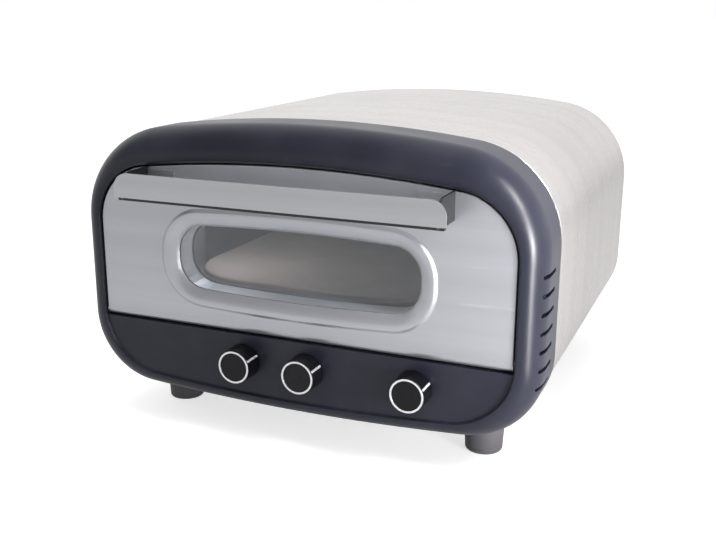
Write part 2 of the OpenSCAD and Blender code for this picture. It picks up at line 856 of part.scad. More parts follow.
// Knob body with a bore for the flatted shaft, a groove for the ring and one for the pointer
module knob(x) {
    difference() {
        translate([x, 0, knob_z]) rotate([90, 0, 0]) rotate_extrude() polygon([
            [0, knob_gap], [knob_r, knob_gap], [knob_r, knob_gap + 3], [skirt_r, knob_reach - 1],
            [skirt_r - 1, knob_reach], [ring_r - ring_w, knob_reach],
            [ring_r - ring_w - 0.3, knob_reach - face_d], [0, knob_reach - face_d]]);
        difference() {
            rod_y(shaft_r + 0.05, -knob_bore - knob_gap - 3.2, 0, x, knob_z);
            rotate_about(x) block(x - shaft_r, x + shaft_r, -knob_reach, 0,
                knob_z + shaft_r - 0.95, knob_z + shaft_r + 1);
        }
        difference() {
            rod_y(ring_r, -knob_reach - 1, -knob_reach + ring_d, x, knob_z);
            rod_y(ring_r - ring_w, -knob_reach - 2, 0, x, knob_z);
        }
        rotate_about(x) pointer_bar(x, 1);
    }
}

module pointer_bar(x, extra) block(x + skirt_r - 1.2, x + knob_r - 0.1 + extra, -knob_reach + 1.5,
    -knob_gap - 3.5, knob_z - pointer_w / 2, knob_z + pointer_w / 2);

module trim(x) {
    difference() {
        rod_y(ring_r, -knob_reach, -knob_reach + ring_d, x, knob_z);
        rod_y(ring_r - ring_w, -knob_reach - 1, 0, x, knob_z);
    }
    intersection() {
        rotate_about(x) pointer_bar(x, 0);
        rod_y(skirt_r, -knob_reach, 0, x, knob_z);
    }
}

module upper_heat_knob() color([0.06, 0.06, 0.07]) place() knob(knob_x1);

module upper_heat_trim() color([0.85, 0.85, 0.87]) place() trim(knob_x1);

module upper_heat_shaft() color([0.6, 0.6, 0.6]) place() shaft(knob_x1);

module lower_heat_knob() color([0.06, 0.06, 0.07]) place() knob(knob_x2);

module lower_heat_trim() color([0.85, 0.85, 0.87]) place() trim(knob_x2);

module lower_heat_shaft() color([0.6, 0.6, 0.6]) place() shaft(knob_x2);

module timer_knob() color([0.06, 0.06, 0.07]) place() knob(knob_x3);

module timer_trim() color([0.85, 0.85, 0.87]) place() trim(knob_x3);

module timer_shaft() color([0.6, 0.6, 0.6]) place() shaft(knob_x3);

// ---- door ------------------------------------------------------------------------------------

// Pressed surround of the window with the lip that meets the outer pane
module surround() {
    w = surround_w;
    h = surround_h;
    steps = [[-w, sheet_t / 2], [-w, 0], [-0.72 * w, -0.45 * h], [-0.45 * w, -0.9 * h], [-0.25 * w, -h],
        [-0.08 * w, -0.75 * h], [0, 0], [lip_in, lip_depth], [lip_in - sheet_t, lip_depth],
        [-sheet_t, 0.5], [-0.25 * w, sheet_t - h * 0.8], [-0.6 * w, sheet_t - h * 0.3]];
    hoop([for (i = [len(steps) - 1:-1:0]) ring(window_line(steps[i][0]), steps[i][1])]);
}

module hem(r, x0, x1) {
    intersection() {
        rod_x(r, x0, x1, axis_y, axis_z);
        below(axis_z);
    }
}

skin_half = open_half - skin_in;

module door_skin() color([0.68, 0.69, 0.71]) place() {
    difference() {
        union() {
            difference() {
                opening(skin_in, axis_z, 0, skin_depth);
                opening(pan_in, axis_z - 1, sheet_t, skin_depth + 1);
                prism(window_line(-surround_w / 2), -1, sheet_t + 1);
            }
            difference() {
                hem(hem_r, -skin_half, skin_half);
                hem(hem_r - sheet_t, -skin_half + sheet_t, skin_half - sheet_t);
                block(-skin_half + sheet_t, skin_half - sheet_t, axis_y + hem_r * 0.75, axis_y + hem_r + 1,
                    axis_z - hem_r, axis_z + 1);
            }
            surround();
        }
        rod_x(pin_r + 0.05, -half_w, half_w, axis_y, axis_z);
        handle_screw_holes(screw_r + 0.1);
    }
}

module door_pan() color([0.6, 0.6, 0.6]) place() {
    difference() {
        opening(pan_in, pan_low, pan_y, door_t);
        opening(pan_in + sheet_t, pan_low + sheet_t, pan_y - 1, door_t - sheet_t);
        prism(window_line(lip_in + 1), door_t - sheet_t - 1, door_t + 1);
        mirrored() rod_x(pin_head_r + 0.2, stay_x - 1, stay_x + stay_t, axis_y, axis_z);
        mirrored() block(stay_x - 0.3, stay_x + stay_t, door_t - sheet_t - 1, door_t + 1,
            axis_z + stay_height(stay_r1, door_t) - 0.3,
            axis_z + stay_height(stay_r2, door_t - sheet_t) + 0.3);
        rod_x(pin_r + 0.05, -half_w, half_w, axis_y, axis_z);
    }
}

module pane(y) prism(window_line(lip_in - pane_lap), y, y + pane_t);

module outer_glass() color([0.7, 0.8, 0.8, 0.4]) place() pane(pane1_y);

module inner_glass() color([0.7, 0.8, 0.8, 0.4]) place() pane(pane2_y);

// Sheet steel tunnel that holds the panes apart, flanged outwards against each of them
module glass_spacer() color([0.7, 0.7, 0.7]) place() {
    front = pane1_y + pane_t;
    difference() {
        union() {
            prism(window_line(lip_in - sheet_t), front, pane2_y);
            prism(window_line(lip_in - pane_lap), front, front + sheet_t);
            prism(window_line(lip_in - pane_lap), pane2_y - sheet_t, pane2_y);
        }
        prism(window_line(lip_in), pane1_y, pane2_y + 1);
    }
}

module handle_screw_holes(r) {
    for (s = [-1, 1], dx = tab_screws)
        rod_y(r, -tab_t - 1, sheet_t + 6, s * (handle_half - dx), handle_low + handle_h / 2);
}

// Bent steel pull: a front plate, two end returns and inward tabs that screw to the door
module door_handle() color([0.7, 0.71, 0.73]) place() {
    rear = -handle_reach + handle_t;
    difference() {
        union() {
            intersection() {
                block(-handle_half, handle_half, -handle_reach, rear, handle_low, handle_top);
                prism(handle_line(), -handle_reach - 1, 0);
            }
            mirrored() intersection() {
                block(leg_x - handle_t, leg_x, rear - 0.5, 0, handle_low, handle_top);
                translate([handle_half, 0, 0]) rotate([0, 0, 90]) prism(end_line(), 0, 10);
            }
            mirrored() block(leg_x - tab_l, leg_x - 0.5, -tab_t, 0,
                handle_low + 2, handle_top - 2);
        }
        handle_screw_holes(screw_r + 0.1);
    }
}

// Front view of the pull: round upper corners, nearly square lower ones
function handle_line() = concat(
    arc(handle_half - handle_r, handle_top - handle_r, handle_r, 0, 90, 8),
    arc(-handle_half + handle_r, handle_top - handle_r, handle_r, 90, 180, 8),
    arc(-handle_half + 2, handle_low + 2, 2, 180, 270, 3),
    arc(handle_half - 2, handle_low + 2, 2, 270, 360, 3));

// Side view of an end return, with its front upper corner rounded like the plate's
function end_line() = concat(
    [[0, handle_low], [0, handle_top]],
    arc(-handle_reach + handle_r, handle_top - handle_r, handle_r, 90, 180, 8),
    [[-handle_reach, handle_low]]);

module handle_screws() color([0.8, 0.8, 0.8]) place() {
    z = handle_low + handle_h / 2;
    for (s = [-1, 1], dx = tab_screws) {
        rod_y(screw_r, -tab_t - 0.5, sheet_t + 5, s * (handle_half - dx), z);
        mirror([0, 1, 0]) pan_head_y(screw_head_r, screw_head_t, tab_t, s * (handle_half - dx), z);
    }
}

module hinge_pins() color([0.7, 0.7, 0.7]) place() mirrored() {
    inner = open_half - pan_in - sheet_t;
    rod_x(pin_head_r, inner - pin_head_t, inner, axis_y, axis_z);
    rod_x(pin_r, inner - 1, hinge_x + hinge_t + 2, axis_y, axis_z);
}

module hinge_bracket() {
    difference() {
        union() {
            block(hinge_x, hinge_x + hinge_t, throat_y, frame_y, axis_z - hinge_low, axis_z + hinge_high);
            block(hinge_x, hinge_x + hinge_flange, frame_y - hinge_t, frame_y,
                axis_z - hinge_low, axis_z + hinge_high);
        }
        rod_x(pin_r + bush_wall, 0, half_w, axis_y, axis_z);
    }
}

module hinge_bracket_left() color([0.6, 0.6, 0.6]) place() mirror([1, 0, 0]) hinge_bracket();

module hinge_bracket_right() color([0.6, 0.6, 0.6]) place() hinge_bracket();

module hinge_bushes() color([0.7, 0.55, 0.3]) place() mirrored() {
    difference() {
        union() {
            rod_x(pin_r + bush_wall, hinge_x - 1.2, hinge_x + hinge_t + 1, axis_y, axis_z);
            rod_x(pin_r + bush_wall + 1.4, hinge_x - 1.2, hinge_x, axis_y, axis_z);
        }
        rod_x(pin_r + run_fit, 0, half_w, axis_y, axis_z);
    }
}

// Stay: a strap bent about the hinge axis, with a stop that meets the frame when the door is down
stay_top = 74;
stay_tail = -44;

// Angle at radius r of the stop's face, which lies flat behind the frame once the door is down
function stop_angle(r) = acos((frame_y + sheet_t + stop_gap - axis_y) / r) - door_angle;

function stay_line() = concat(
    arc(axis_y, axis_z, stay_r1, stay_tail, stay_top, 16),
    arc(axis_y, axis_z, stay_r2, stay_top, stop_angle(stay_r2), 16),
    arc(axis_y, axis_z, stay_r2 + stay_stop, stop_angle(stay_r2 + stay_stop), stay_tail, 3));

module door_stay() {
    translate([stay_x, 0, 0]) rotate([90, 0, 90]) linear_extrude(stay_t) polygon(stay_line());
}

module door_stay_left() color([0.6, 0.6, 0.6]) place() mirror([1, 0, 0]) door_stay();

module door_stay_right() color([0.6, 0.6, 0.6]) place() door_stay();

// ---- feet and small fasteners ----------------------------------------------------------------

module foot(x, y) {
    difference() {
        translate([x, y, 0]) rotate_extrude() polygon([
            [0, 0], [foot_low_r - foot_edge, 0], [foot_low_r - 0.3 * foot_edge, 0.3 * foot_edge],
            [foot_low_r, foot_edge], [foot_r, bot_z + foot_sink], [0, bot_z + foot_sink]]);
        prism(body_line(0), 0, bezel_d);
        prism(body_line(wrap_in), bezel_d - 1, body_d);
        rod_z(foot_screw_r + 2.5, -1, foot_recess, x, y);
        rod_z(foot_screw_r + 0.1, 0, bot_z + foot_sink + 1, x, y);
    }
}

module foot_front_left() color([0.15, 0.15, 0.16]) place() foot(-foot_x, foot_ys[0]);

module foot_front_right() color([0.15, 0.15, 0.16]) place() foot(foot_x, foot_ys[0]);

module foot_rear_left() color([0.15, 0.15, 0.16]) place() foot(-foot_x, foot_ys[1]);

module foot_rear_right() color([0.15, 0.15, 0.16]) place() foot(foot_x, foot_ys[1]);

module foot_screws() color([0.7, 0.7, 0.7]) place() {
    for (x = [-foot_x, foot_x], y = foot_ys) {
        rod_z(foot_screw_r, foot_recess - 2.5, bot_z + 14, x, y);
        rod_z(foot_screw_r + 2, foot_recess - 3, foot_recess, x, y);
    }
}

module shell_screws() color([0.7, 0.7, 0.7]) place() {
    for (x = [-screw_x, screw_x], y = screw_ys) {
        z = belly_z(x);
        rod_z(screw_r, z - 0.5, z + 8, x, y);
        rod_z(screw_head_r, z - screw_head_t, z - 0.3, x, y);
    }
}

// Lowest level of the wrap's outer face at distance x from the middle
function belly_z(x) =
    let (r = (half_w * half_w + crown_low * crown_low) / (2 * crown_low))
    bot_z + r - sqrt(pow(r - wrap_in, 2) - x * x);

front_bezel();
outer_shell();
base_plate();
rear_panel();
front_frame();
door_seal();
oven_liner();
insulation_jacket();
rear_standoffs();
upper_element();
lower_element();
upper_element_bars();
lower_element_bars();
element_bushes();
stone_rails();
stone_tray();
pizza_stone();
thermal_cutout();
control_bracket();
upper_thermostat();
lower_thermostat();
timer_unit();
control_nuts();
terminal_block();
power_inlet();
inlet_pins();
hinge_bracket_left();
hinge_bracket_right();
hinge_bushes();
foot_front_left();
foot_front_right();
foot_rear_left();
foot_rear_right();
foot_screws();
shell_screws();
rear_screws();
door_skin();
door_pan();
outer_glass();
inner_glass();
glass_spacer();
door_handle();
handle_screws();
hinge_pins();
door_stay_left();
door_stay_right();
upper_heat_knob();
upper_heat_trim();
upper_heat_shaft();
lower_heat_knob();
lower_heat_trim();
lower_heat_shaft();
timer_knob();
timer_trim();
timer_shaft();
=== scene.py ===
# %% [markdown]
# # A countertop pizza oven with a drop-down door
# This notebook dresses a finished construction model. The construction gives every piece its place and
# its size, so each cell reads those from the frame and builds the visible skin over them. Lengths are in
# metres, +X is to the right seen from the front, +Y runs to the back and +Z is up.

# %% Load the frame
import math

import bmesh
import bpy
from mathutils import Matrix, Vector


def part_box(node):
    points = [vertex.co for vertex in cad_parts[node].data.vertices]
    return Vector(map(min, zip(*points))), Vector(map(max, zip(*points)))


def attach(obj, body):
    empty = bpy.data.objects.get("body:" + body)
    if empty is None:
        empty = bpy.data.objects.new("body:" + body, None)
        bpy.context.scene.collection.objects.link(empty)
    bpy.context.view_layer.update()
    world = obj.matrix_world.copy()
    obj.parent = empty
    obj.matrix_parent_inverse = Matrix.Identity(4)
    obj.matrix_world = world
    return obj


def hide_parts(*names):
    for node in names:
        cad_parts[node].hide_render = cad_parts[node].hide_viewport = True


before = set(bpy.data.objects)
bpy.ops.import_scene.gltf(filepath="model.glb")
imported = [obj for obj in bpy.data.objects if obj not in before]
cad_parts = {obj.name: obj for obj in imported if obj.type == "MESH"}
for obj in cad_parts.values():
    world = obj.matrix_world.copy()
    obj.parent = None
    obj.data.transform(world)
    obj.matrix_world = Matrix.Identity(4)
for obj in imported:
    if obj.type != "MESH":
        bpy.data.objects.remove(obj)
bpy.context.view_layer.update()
MM = 0.001

# %% [markdown]
# ## Levels and widths
# Levels and widths could be typed in, but then the skin would stop fitting as soon as the construction
# changed. So they are read from the boxes of its nodes. The face of the door is the plane that most
# front pieces are measured from, and the tabs of the pull lie on it.

# %% Levels and widths
BEZEL_LO, BEZEL_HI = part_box("front_bezel")
WRAP_LO, WRAP_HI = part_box("outer_shell")
SKIN_LO, SKIN_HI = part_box("door_skin")
PULL_LO, PULL_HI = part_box("door_handle")
FACE_Y = PULL_HI.y
HALF_W = BEZEL_HI.x
TOP_Z = BEZEL_HI.z
LOW_Z = BEZEL_LO.z
DOOR_LOW = SKIN_LO.z
BEZEL_BACK = BEZEL_HI.y - FACE_Y
CREST = FACE_Y - BEZEL_LO.y
SHEET = 1.0 * MM
print("door face at", round(FACE_Y, 4), "bezel reaches back", round(BEZEL_BACK, 4))

# %% [markdown]
# ## Camera
# A product picture is taken from a little above and to one side. The camera could be placed by hand, but
# angles, a target and a distance say what is meant and are easy to change. A small roll tilts the view
# in the way that a camera in the hand does.

# %% Camera
VIEW_AZIMUTH = math.radians(22.85)
VIEW_ELEVATION = math.radians(15.45)
VIEW_ROLL = math.radians(0.25)
VIEW_DISTANCE = 0.80688
VIEW_TARGET = Vector((0.06194, FACE_Y, 0.17471))
VIEW_LENS = 48.34


def look_camera():
    """Create the camera from its angles, target, distance and roll."""
    ca, sa = math.cos(VIEW_AZIMUTH), math.sin(VIEW_AZIMUTH)
    ce, se = math.cos(VIEW_ELEVATION), math.sin(VIEW_ELEVATION)
    forward = Vector((-sa * ce, ca * ce, -se))
    right = Vector((ca, sa, 0))
    up = right.cross(forward)
    cr, sr = math.cos(VIEW_ROLL), math.sin(VIEW_ROLL)
    right, up = right * cr + up * sr, up * cr - right * sr
    camera = bpy.data.objects.new("camera", bpy.data.cameras.new("camera"))
    camera.data.lens = VIEW_LENS
    camera.data.sensor_width = 36
    camera.data.sensor_fit = "HORIZONTAL"
    camera.data.clip_start = 0.01
    place = VIEW_TARGET - forward * VIEW_DISTANCE
    rows = [(right[i], up[i], -forward[i], place[i]) for i in range(3)]
    camera.matrix_world = Matrix((*rows, (0, 0, 0, 1)))
    bpy.context.scene.collection.objects.link(camera)
    bpy.context.scene.camera = camera
    return camera


camera = look_camera()
print("camera at", [round(v, 3) for v in camera.matrix_world.translation])

# %% [markdown]
# ## Points of an outline
# The front of the oven is a rounded shape with straight sides and a slightly crowned top and bottom. It
# could be drawn as a curve object, but a function that returns points is easier to inset and to mix.
# Every call with equal step counts gives equal point counts, so two outlines pair up point by point.

# %% Arcs, runs and crowned outlines
def arc_points(cx, cz, radius, start, end, count):
    """Points on a circular arc from start to end in degrees, both ends included."""
    angles = [math.radians(start + (end - start) * i / count) for i in range(count + 1)]
    return [(cx + radius * math.cos(a), cz + radius * math.sin(a)) for a in angles]


def run_points(a, b, count):
    """Points on a straight run, both ends left out."""
    return [(a[0] + (b[0] - a[0]) * i / count, a[1] + (b[1] - a[1]) * i / count) for i in range(1, count)]


def crowned(half, top, bottom, radii, crowns, inset=0.0, corner=22, crown=26, side=14):
    """Closed outline that starts at the right side and runs anticlockwise, moved in by inset."""
    big_top = (half**2 + crowns[0] ** 2) / (2 * crowns[0])
    big_low = (half**2 + crowns[1] ** 2) / (2 * crowns[1])
    x_top, x_low = half - radii[0], half - radii[1]
    z_top = top - big_top + math.sqrt((big_top - radii[0]) ** 2 - x_top**2)
    z_low = bottom + big_low - math.sqrt((big_low - radii[1]) ** 2 - x_low**2)
    turn_top = math.degrees(math.atan2(z_top - top + big_top, x_top))
    turn_low = math.degrees(math.atan2(bottom + big_low - z_low, x_low))
    right_top = arc_points(x_top, z_top, radii[0] - inset, 0, turn_top, corner)
    crest = arc_points(0, top - big_top, big_top - inset, turn_top, 180 - turn_top, crown)[1:-1]
    left_top = arc_points(-x_top, z_top, radii[0] - inset, 180 - turn_top, 180, corner)
    left_low = arc_points(-x_low, z_low, radii[1] - inset, 180, 180 + turn_low, corner)
    belly = arc_points(0, bottom + big_low, big_low - inset, 180 + turn_low, 360 - turn_low, crown)[1:-1]
    right_low = arc_points(x_low, z_low, radii[1] - inset, 360 - turn_low, 360, corner)
    left = run_points(left_top[-1], left_low[0], side)
    right = run_points(right_low[-1], right_top[0], side)
    return right_top + crest + left_top + left + left_low + belly + right_low + right


print("outline functions ready")

# %% [markdown]
# ## Outlines of the body, the door opening and the window
# A box can't give the radius of a corner or the rise of a crown, so these few sizes are repeated from
# the construction. Each pair holds the value of the top first and that of the bottom second.

# %% Outlines of this oven
BODY_RADII = (86 * MM, 66 * MM)
BODY_CROWNS = (22 * MM, 10.6 * MM)
RIM_SIDE, RIM_TOP, RIM_LOW = 20.5 * MM, 32.6 * MM, 16 * MM
OPEN_HALF, OPEN_TOP, OPEN_LOW = HALF_W - RIM_SIDE, TOP_Z - RIM_TOP, LOW_Z + RIM_LOW
OPEN_RADII = (55.8 * MM, 60 * MM)
OPEN_CROWNS = (16.3 * MM, 10.6 * MM)
WINDOW_HALF, WINDOW_H = 118.5 * MM, 68 * MM
WINDOW_RADII = (28 * MM, 28 * MM)
WINDOW_CROWNS = (4 * MM, 4 * MM)
WINDOW_Z = DOOR_LOW + 31.7 * MM


def body_line(inset=0.0):
    return crowned(HALF_W, TOP_Z, LOW_Z, BODY_RADII, BODY_CROWNS, inset)


def open_line(inset=0.0):
    return crowned(OPEN_HALF, OPEN_TOP, OPEN_LOW, OPEN_RADII, OPEN_CROWNS, inset)


def window_line(inset=0.0):
    top = WINDOW_Z + WINDOW_H
    return crowned(WINDOW_HALF, top, WINDOW_Z, WINDOW_RADII, WINDOW_CROWNS, inset, 16, 20, 4)


def mix(a, b, w):
    """Point-by-point mix of two outlines."""
    return [(p[0] * (1 - w) + q[0] * w, p[1] * (1 - w) + q[1] * w) for p, q in zip(a, b)]


def above(line, level):
    """The part of a convex outline that lies above level."""
    kept = []
    for a, b in zip(line, line[1:] + line[:1]):
        if a[1] >= level:
            kept.append(a)
        if (a[1] >= level) != (b[1] >= level):
            t = (level - a[1]) / (b[1] - a[1])
            kept.append((a[0] + (b[0] - a[0]) * t, level))
    return kept


def ring(line, y):
    """Outline set upright at depth y behind the door face."""
    return [Vector((p[0], FACE_Y + y, p[1])) for p in line]


print("points in a body outline:", len(body_line()), "opening half width", round(OPEN_HALF, 4))

# %% [markdown]
# ## Building with shader nodes
# A finish could be clicked together in the shader editor, but a notebook has to build it again each time
# that it runs. A few short helpers keep that readable: one adds a node, the others do one sum, one
# step, one noise or one mix of colours.

# %% Node helpers
def put(tree, kind, inputs=None, **settings):
    """Add a node, set its properties, then fill its inputs with values or links."""
    node = tree.nodes.new(kind)
    for key, value in settings.items():
        setattr(node, key, value)
    for key, value in (inputs or {}).items():
        if isinstance(value, bpy.types.NodeSocket):
            tree.links.new(value, node.inputs[key])
        else:
            node.inputs[key].default_value = value
    return node


def wire(tree, sockets, **values):
    """Link outputs to named sockets, with underscores for the spaces in their names."""
    for key, value in values.items():
        tree.links.new(value, sockets[key.replace("_", " ")])


def maths(tree, operation, a, b=0.0):
    return put(tree, "ShaderNodeMath", {0: a, 1: b}, operation=operation).outputs[0]


def add_share(tree, value, mask, share):
    """Value plus a share of mask."""
    return maths(tree, "ADD", maths(tree, "MULTIPLY", mask, share), value)


def remap(tree, value, low, high, new_low=0.0, new_high=1.0):
    """Smooth step from low to high."""
    inputs = {"Value": value, "From Min": low, "From Max": high, "To Min": new_low, "To Max": new_high}
    return put(tree, "ShaderNodeMapRange", inputs, interpolation_type="SMOOTHSTEP").outputs[0]


def axis_of(tree, vector, axis):
    return put(tree, "ShaderNodeSeparateXYZ", {0: vector}).outputs[axis]


def noise(tree, vector, scale, detail=3.0, roughness=0.5):
    inputs = {"Vector": vector, "Scale": scale, "Detail": detail, "Roughness": roughness}
    return put(tree, "ShaderNodeTexNoise", inputs).outputs["Fac"]


def bump(tree, height, strength, distance):
    """The normal of a height whose full range rises by distance."""
    inputs = {"Strength": strength, "Distance": distance, "Height": height}
    return put(tree, "ShaderNodeBump", inputs).outputs[0]


print("node helpers ready")

# %% [markdown]
# ### Colours
# Dirt, wear and brushing all show as one colour laid over another where a mask is high. Colours are
# written in linear light. A lighter or darker shade is worked out from the main tone, so that a finish
# is retuned by one colour.

# %% Colour helpers
def shade(tone, factor):
    """A lighter or darker version of a colour."""
    return tuple(min(c * factor, 1) for c in tone)


def blend(tree, factor, a, b):
    """Mix two colours, each a socket or an RGB triple."""
    node = put(tree, "ShaderNodeMix", data_type="RGBA")
    for index, value in ((0, factor), (6, a), (7, b)):
        if isinstance(value, bpy.types.NodeSocket):
            tree.links.new(value, node.inputs[index])
        else:
            node.inputs[index].default_value = value if index == 0 else (*value, 1)
    return node.outputs[2]


def lay_over(tree, colour, mask, strength, top):
    """Lay the colour top over another one where mask is high, at the given strength."""
    return blend(tree, maths(tree, "MULTIPLY", mask, strength), colour, top)


print("colour helpers ready")

# %% [markdown]
# ## Shared surface effects
# Several finishes show the same effects: brushed grain, the fine skin of a moulding, marks from handling
# and brighter edges. Each could be built again in every material. As a node group it is built once, and
# each material places it with its own numbers. A group puts out masks and normals only, while the
# shader itself stays in the material.

# %% Group helpers
def start_group(name, inputs, outputs):
    """An empty group; inputs are {name: (socket type, default)} and outputs {name: socket type}."""
    tree = bpy.data.node_groups.new(name, "ShaderNodeTree")
    for title, (kind, value) in inputs.items():
        socket = tree.interface.new_socket(name=title, in_out="INPUT", socket_type="NodeSocket" + kind)
        if value is not None:
            socket.default_value = value
    for title, kind in outputs.items():
        tree.interface.new_socket(name=title, in_out="OUTPUT", socket_type="NodeSocket" + kind)
    return tree, tree.nodes.new("NodeGroupInput").outputs, tree.nodes.new("NodeGroupOutput").inputs


def use(tree, group, **inputs):
    """Place a shared effect and return its outputs; underscores stand for spaces in input names."""
    values = {key.replace("_", " "): value for key, value in inputs.items()}
    return put(tree, "ShaderNodeGroup", values, node_tree=group).outputs


print("group helpers ready")

# %% [markdown]
# ### Brushed grain
# Brushing leaves fine parallel scratches of uneven length. They could be painted, but noise that is
# stretched hard along one direction gives them at any size: a fine layer for the scratches and a broad
# one for bands of denser brushing. The slopes of the fine layer spread reflections across the grain, as
# real scratches do.

# %% Brushed grain group
def brushed_grain():
    inputs = {"Vector": ("Vector", None), "Stretch": ("Vector", (4, 900, 900)), "Depth": ("Float", 0.2)}
    outputs = {"Grain": "Float", "Bands": "Float", "Normal": "Vector"}
    tree, given, result = start_group("brushed_grain", inputs, outputs)
    stretch = {0: given["Vector"], 1: given["Stretch"]}
    scaled = put(tree, "ShaderNodeVectorMath", stretch, operation="MULTIPLY").outputs[0]
    fine = noise(tree, scaled, 1.6, detail=4, roughness=0.7)
    bands = noise(tree, scaled, 0.035, detail=3, roughness=0.6)
    wire(tree, result, Grain=fine, Bands=bands, Normal=bump(tree, fine, given["Depth"], 0.4 * MM))
    return tree


GRAIN = brushed_grain()
print("made", GRAIN.name)

# %% [markdown]
# ### Moulded skin
# A plastic housing comes out of a spark-eroded mould, so its skin has a fine even texture and is a
# touch uneven in gloss over larger areas. Modelling that texture would take millions of faces, so a
# bump stands in for it.

# %% Moulded skin group
def moulded_skin():
    inputs = {"Vector": ("Vector", None), "Scale": ("Float", 1500.0), "Depth": ("Float", 0.2)}
    tree, given, result = start_group("moulded_skin", inputs, {"Gloss": "Float", "Normal": "Vector"})
    fine = noise(tree, given["Vector"], given["Scale"], detail=2, roughness=0.6)
    broad = noise(tree, given["Vector"], 11, detail=3, roughness=0.55)
    gloss = add_share(tree, maths(tree, "MULTIPLY", broad, 0.7), fine, 0.3)
    wire(tree, result, Gloss=gloss, Normal=bump(tree, fine, given["Depth"], 0.2 * MM))
    return tree


SKIN_TEXTURE = moulded_skin()
print("made", SKIN_TEXTURE.name)

# %% [markdown]
# ### Handling marks
# Hands and cloths leave soft cloudy patches and a few hairline scratches. Both are noise that is cut
# off steeply, so most of the surface stays clean. The scratches come from stretched noise, and a second
# noise lets them through only here and there.

# %% Marks group
def handling_marks():
    inputs = {"Vector": ("Vector", None), "Patch size": ("Float", 0.06), "Amount": ("Float", 1.0)}
    tree, given, result = start_group("handling_marks", inputs, {"Smudge": "Float", "Scratch": "Float"})
    scale = maths(tree, "DIVIDE", 1.0, given["Patch size"])
    cloud = remap(tree, noise(tree, given["Vector"], scale, detail=4, roughness=0.62), 0.42, 0.72)
    turned = {"Vector": given["Vector"], "Rotation": (0.3, 0.5, 0.2), "Scale": (6, 260, 260)}
    streaks = put(tree, "ShaderNodeMapping", turned).outputs[0]
    lines = remap(tree, noise(tree, streaks, 1.0, detail=1, roughness=0.4), 0.73, 0.78)
    gate = remap(tree, noise(tree, given["Vector"], 14, detail=1, roughness=0.5), 0.5, 0.62)
    smudge = maths(tree, "MULTIPLY", cloud, given["Amount"])
    scratch = maths(tree, "MULTIPLY", maths(tree, "MULTIPLY", lines, gate), given["Amount"])
    wire(tree, result, Smudge=smudge, Scratch=scratch)
    return tree


MARKS = handling_marks()
print("made", MARKS.name)

# %% [markdown]
# ### Edge wear
# Edges are touched most, so they are rubbed brighter. Worn edges could be picked by hand, but the angle
# between the true normal and a rounded one finds them all: on a flat face the two agree, and beside an
# edge they part.

# %% Wear group
def edge_wear():
    inputs = {"Vector": ("Vector", None), "Width": ("Float", 0.0008), "Amount": ("Float", 1.0)}
    tree, given, result = start_group("edge_wear", inputs, {"Wear": "Float"})
    rounded = put(tree, "ShaderNodeBevel", {"Radius": given["Width"]}, samples=4).outputs[0]
    true = put(tree, "ShaderNodeNewGeometry").outputs["Normal"]
    dot = put(tree, "ShaderNodeVectorMath", {0: rounded, 1: true}, operation="DOT_PRODUCT").outputs["Value"]
    edge = remap(tree, dot, 0.995, 0.86)
    patchy = remap(tree, noise(tree, given["Vector"], 160, detail=3, roughness=0.6), 0.3, 0.62)
    wear = maths(tree, "MULTIPLY", maths(tree, "MULTIPLY", edge, patchy), given["Amount"])
    wire(tree, result, Wear=wear)
    return tree


WEAR = edge_wear()
print("made", WEAR.name)

# %% [markdown]
# ## Finishes
# Every finish starts from one shader whose plain numbers, such as how metallic it is, sit on the shader
# itself. Only what changes over the surface is wired in, because a plain number is easier to read and
# survives an export better than a wire.

# %% Start of a finish
FINISHES = {}


def start_finish(name, **sockets):
    """Keep a new material under its name; return its tree, its shader's inputs and the position."""
    material = bpy.data.materials.new(name)
    material.use_nodes = True
    tree = material.node_tree
    shader = tree.nodes["Principled BSDF"]
    for key, value in sockets.items():
        shader.inputs[key.replace("_", " ")].default_value = value
    place = put(tree, "ShaderNodeTexCoord").outputs["Object"]
    FINISHES[name] = material
    return tree, shader.inputs, place


# %% [markdown]
# ### Painted light on the wrap and the pull
# Parts of two steels are painted lighter or darker. A narrow bead on the wrap just behind the bezel is
# painted lighter, as a painted highlight, and the folded lip and legs of the pull are painted dark, as a
# painted shadow under and beside the plate. Each could be a piece of its own, but a mask that reads the
# place on the piece keeps them in one sheet. The numbers of both shapes are kept here, so the masks and
# the meshes agree.

# %% Masks for the painted bead highlight and the painted fold shadow
PULL_T = 2 * MM
LIP_H = 2.6 * MM
LIP_BACK = 1.7 * MM
LIP_FADE = 0.6 * MM
LEG_IN = 6 * MM
LEG_FADE = 1 * MM
BEAD_Y = BEZEL_BACK + 3.2 * MM
BEAD_FADE = 0.3 * MM
BEAD_MM = ((0, 0), (0.5, 0.3), (0.75, 0.7), (0.5, 1.1), (0.08, 1.4), (0, 1.7))
BEAD = [(rise * MM, y * MM) for rise, y in BEAD_MM]


def fold_shadow_mask(tree, place):
    """One on the lip and the legs of the pull, which are folded back behind its plate; there the finish
    paints shadow.
    """
    lip_top, leg_out = PULL_LO.z + LIP_H, PULL_HI.x - LEG_IN - PULL_T
    lip_face = PULL_LO.y + LIP_BACK
    lip = remap(tree, axis_of(tree, place, "Z"), lip_top + LIP_FADE, lip_top)
    leg = remap(tree, maths(tree, "ABSOLUTE", axis_of(tree, place, "X")), leg_out - LEG_FADE, leg_out)
    behind = remap(tree, axis_of(tree, place, "Y"), lip_face - LIP_FADE, lip_face)
    return maths(tree, "MULTIPLY", behind, maths(tree, "MAXIMUM", lip, leg))


def bead_highlight_mask(tree, place):
    """One on the bead of the wrap, where the finish paints a highlight."""
    y, start, end = axis_of(tree, place, "Y"), FACE_Y + BEAD_Y, FACE_Y + BEAD_Y + BEAD[-1][1]
    rise, fall = remap(tree, y, start, start + BEAD_FADE), remap(tree, y, end, end - BEAD_FADE)
    return maths(tree, "MULTIPLY", rise, fall)


print("bead from", round(FACE_Y + BEAD_Y, 4), "lip up to", round(PULL_LO.z + LIP_H, 4))

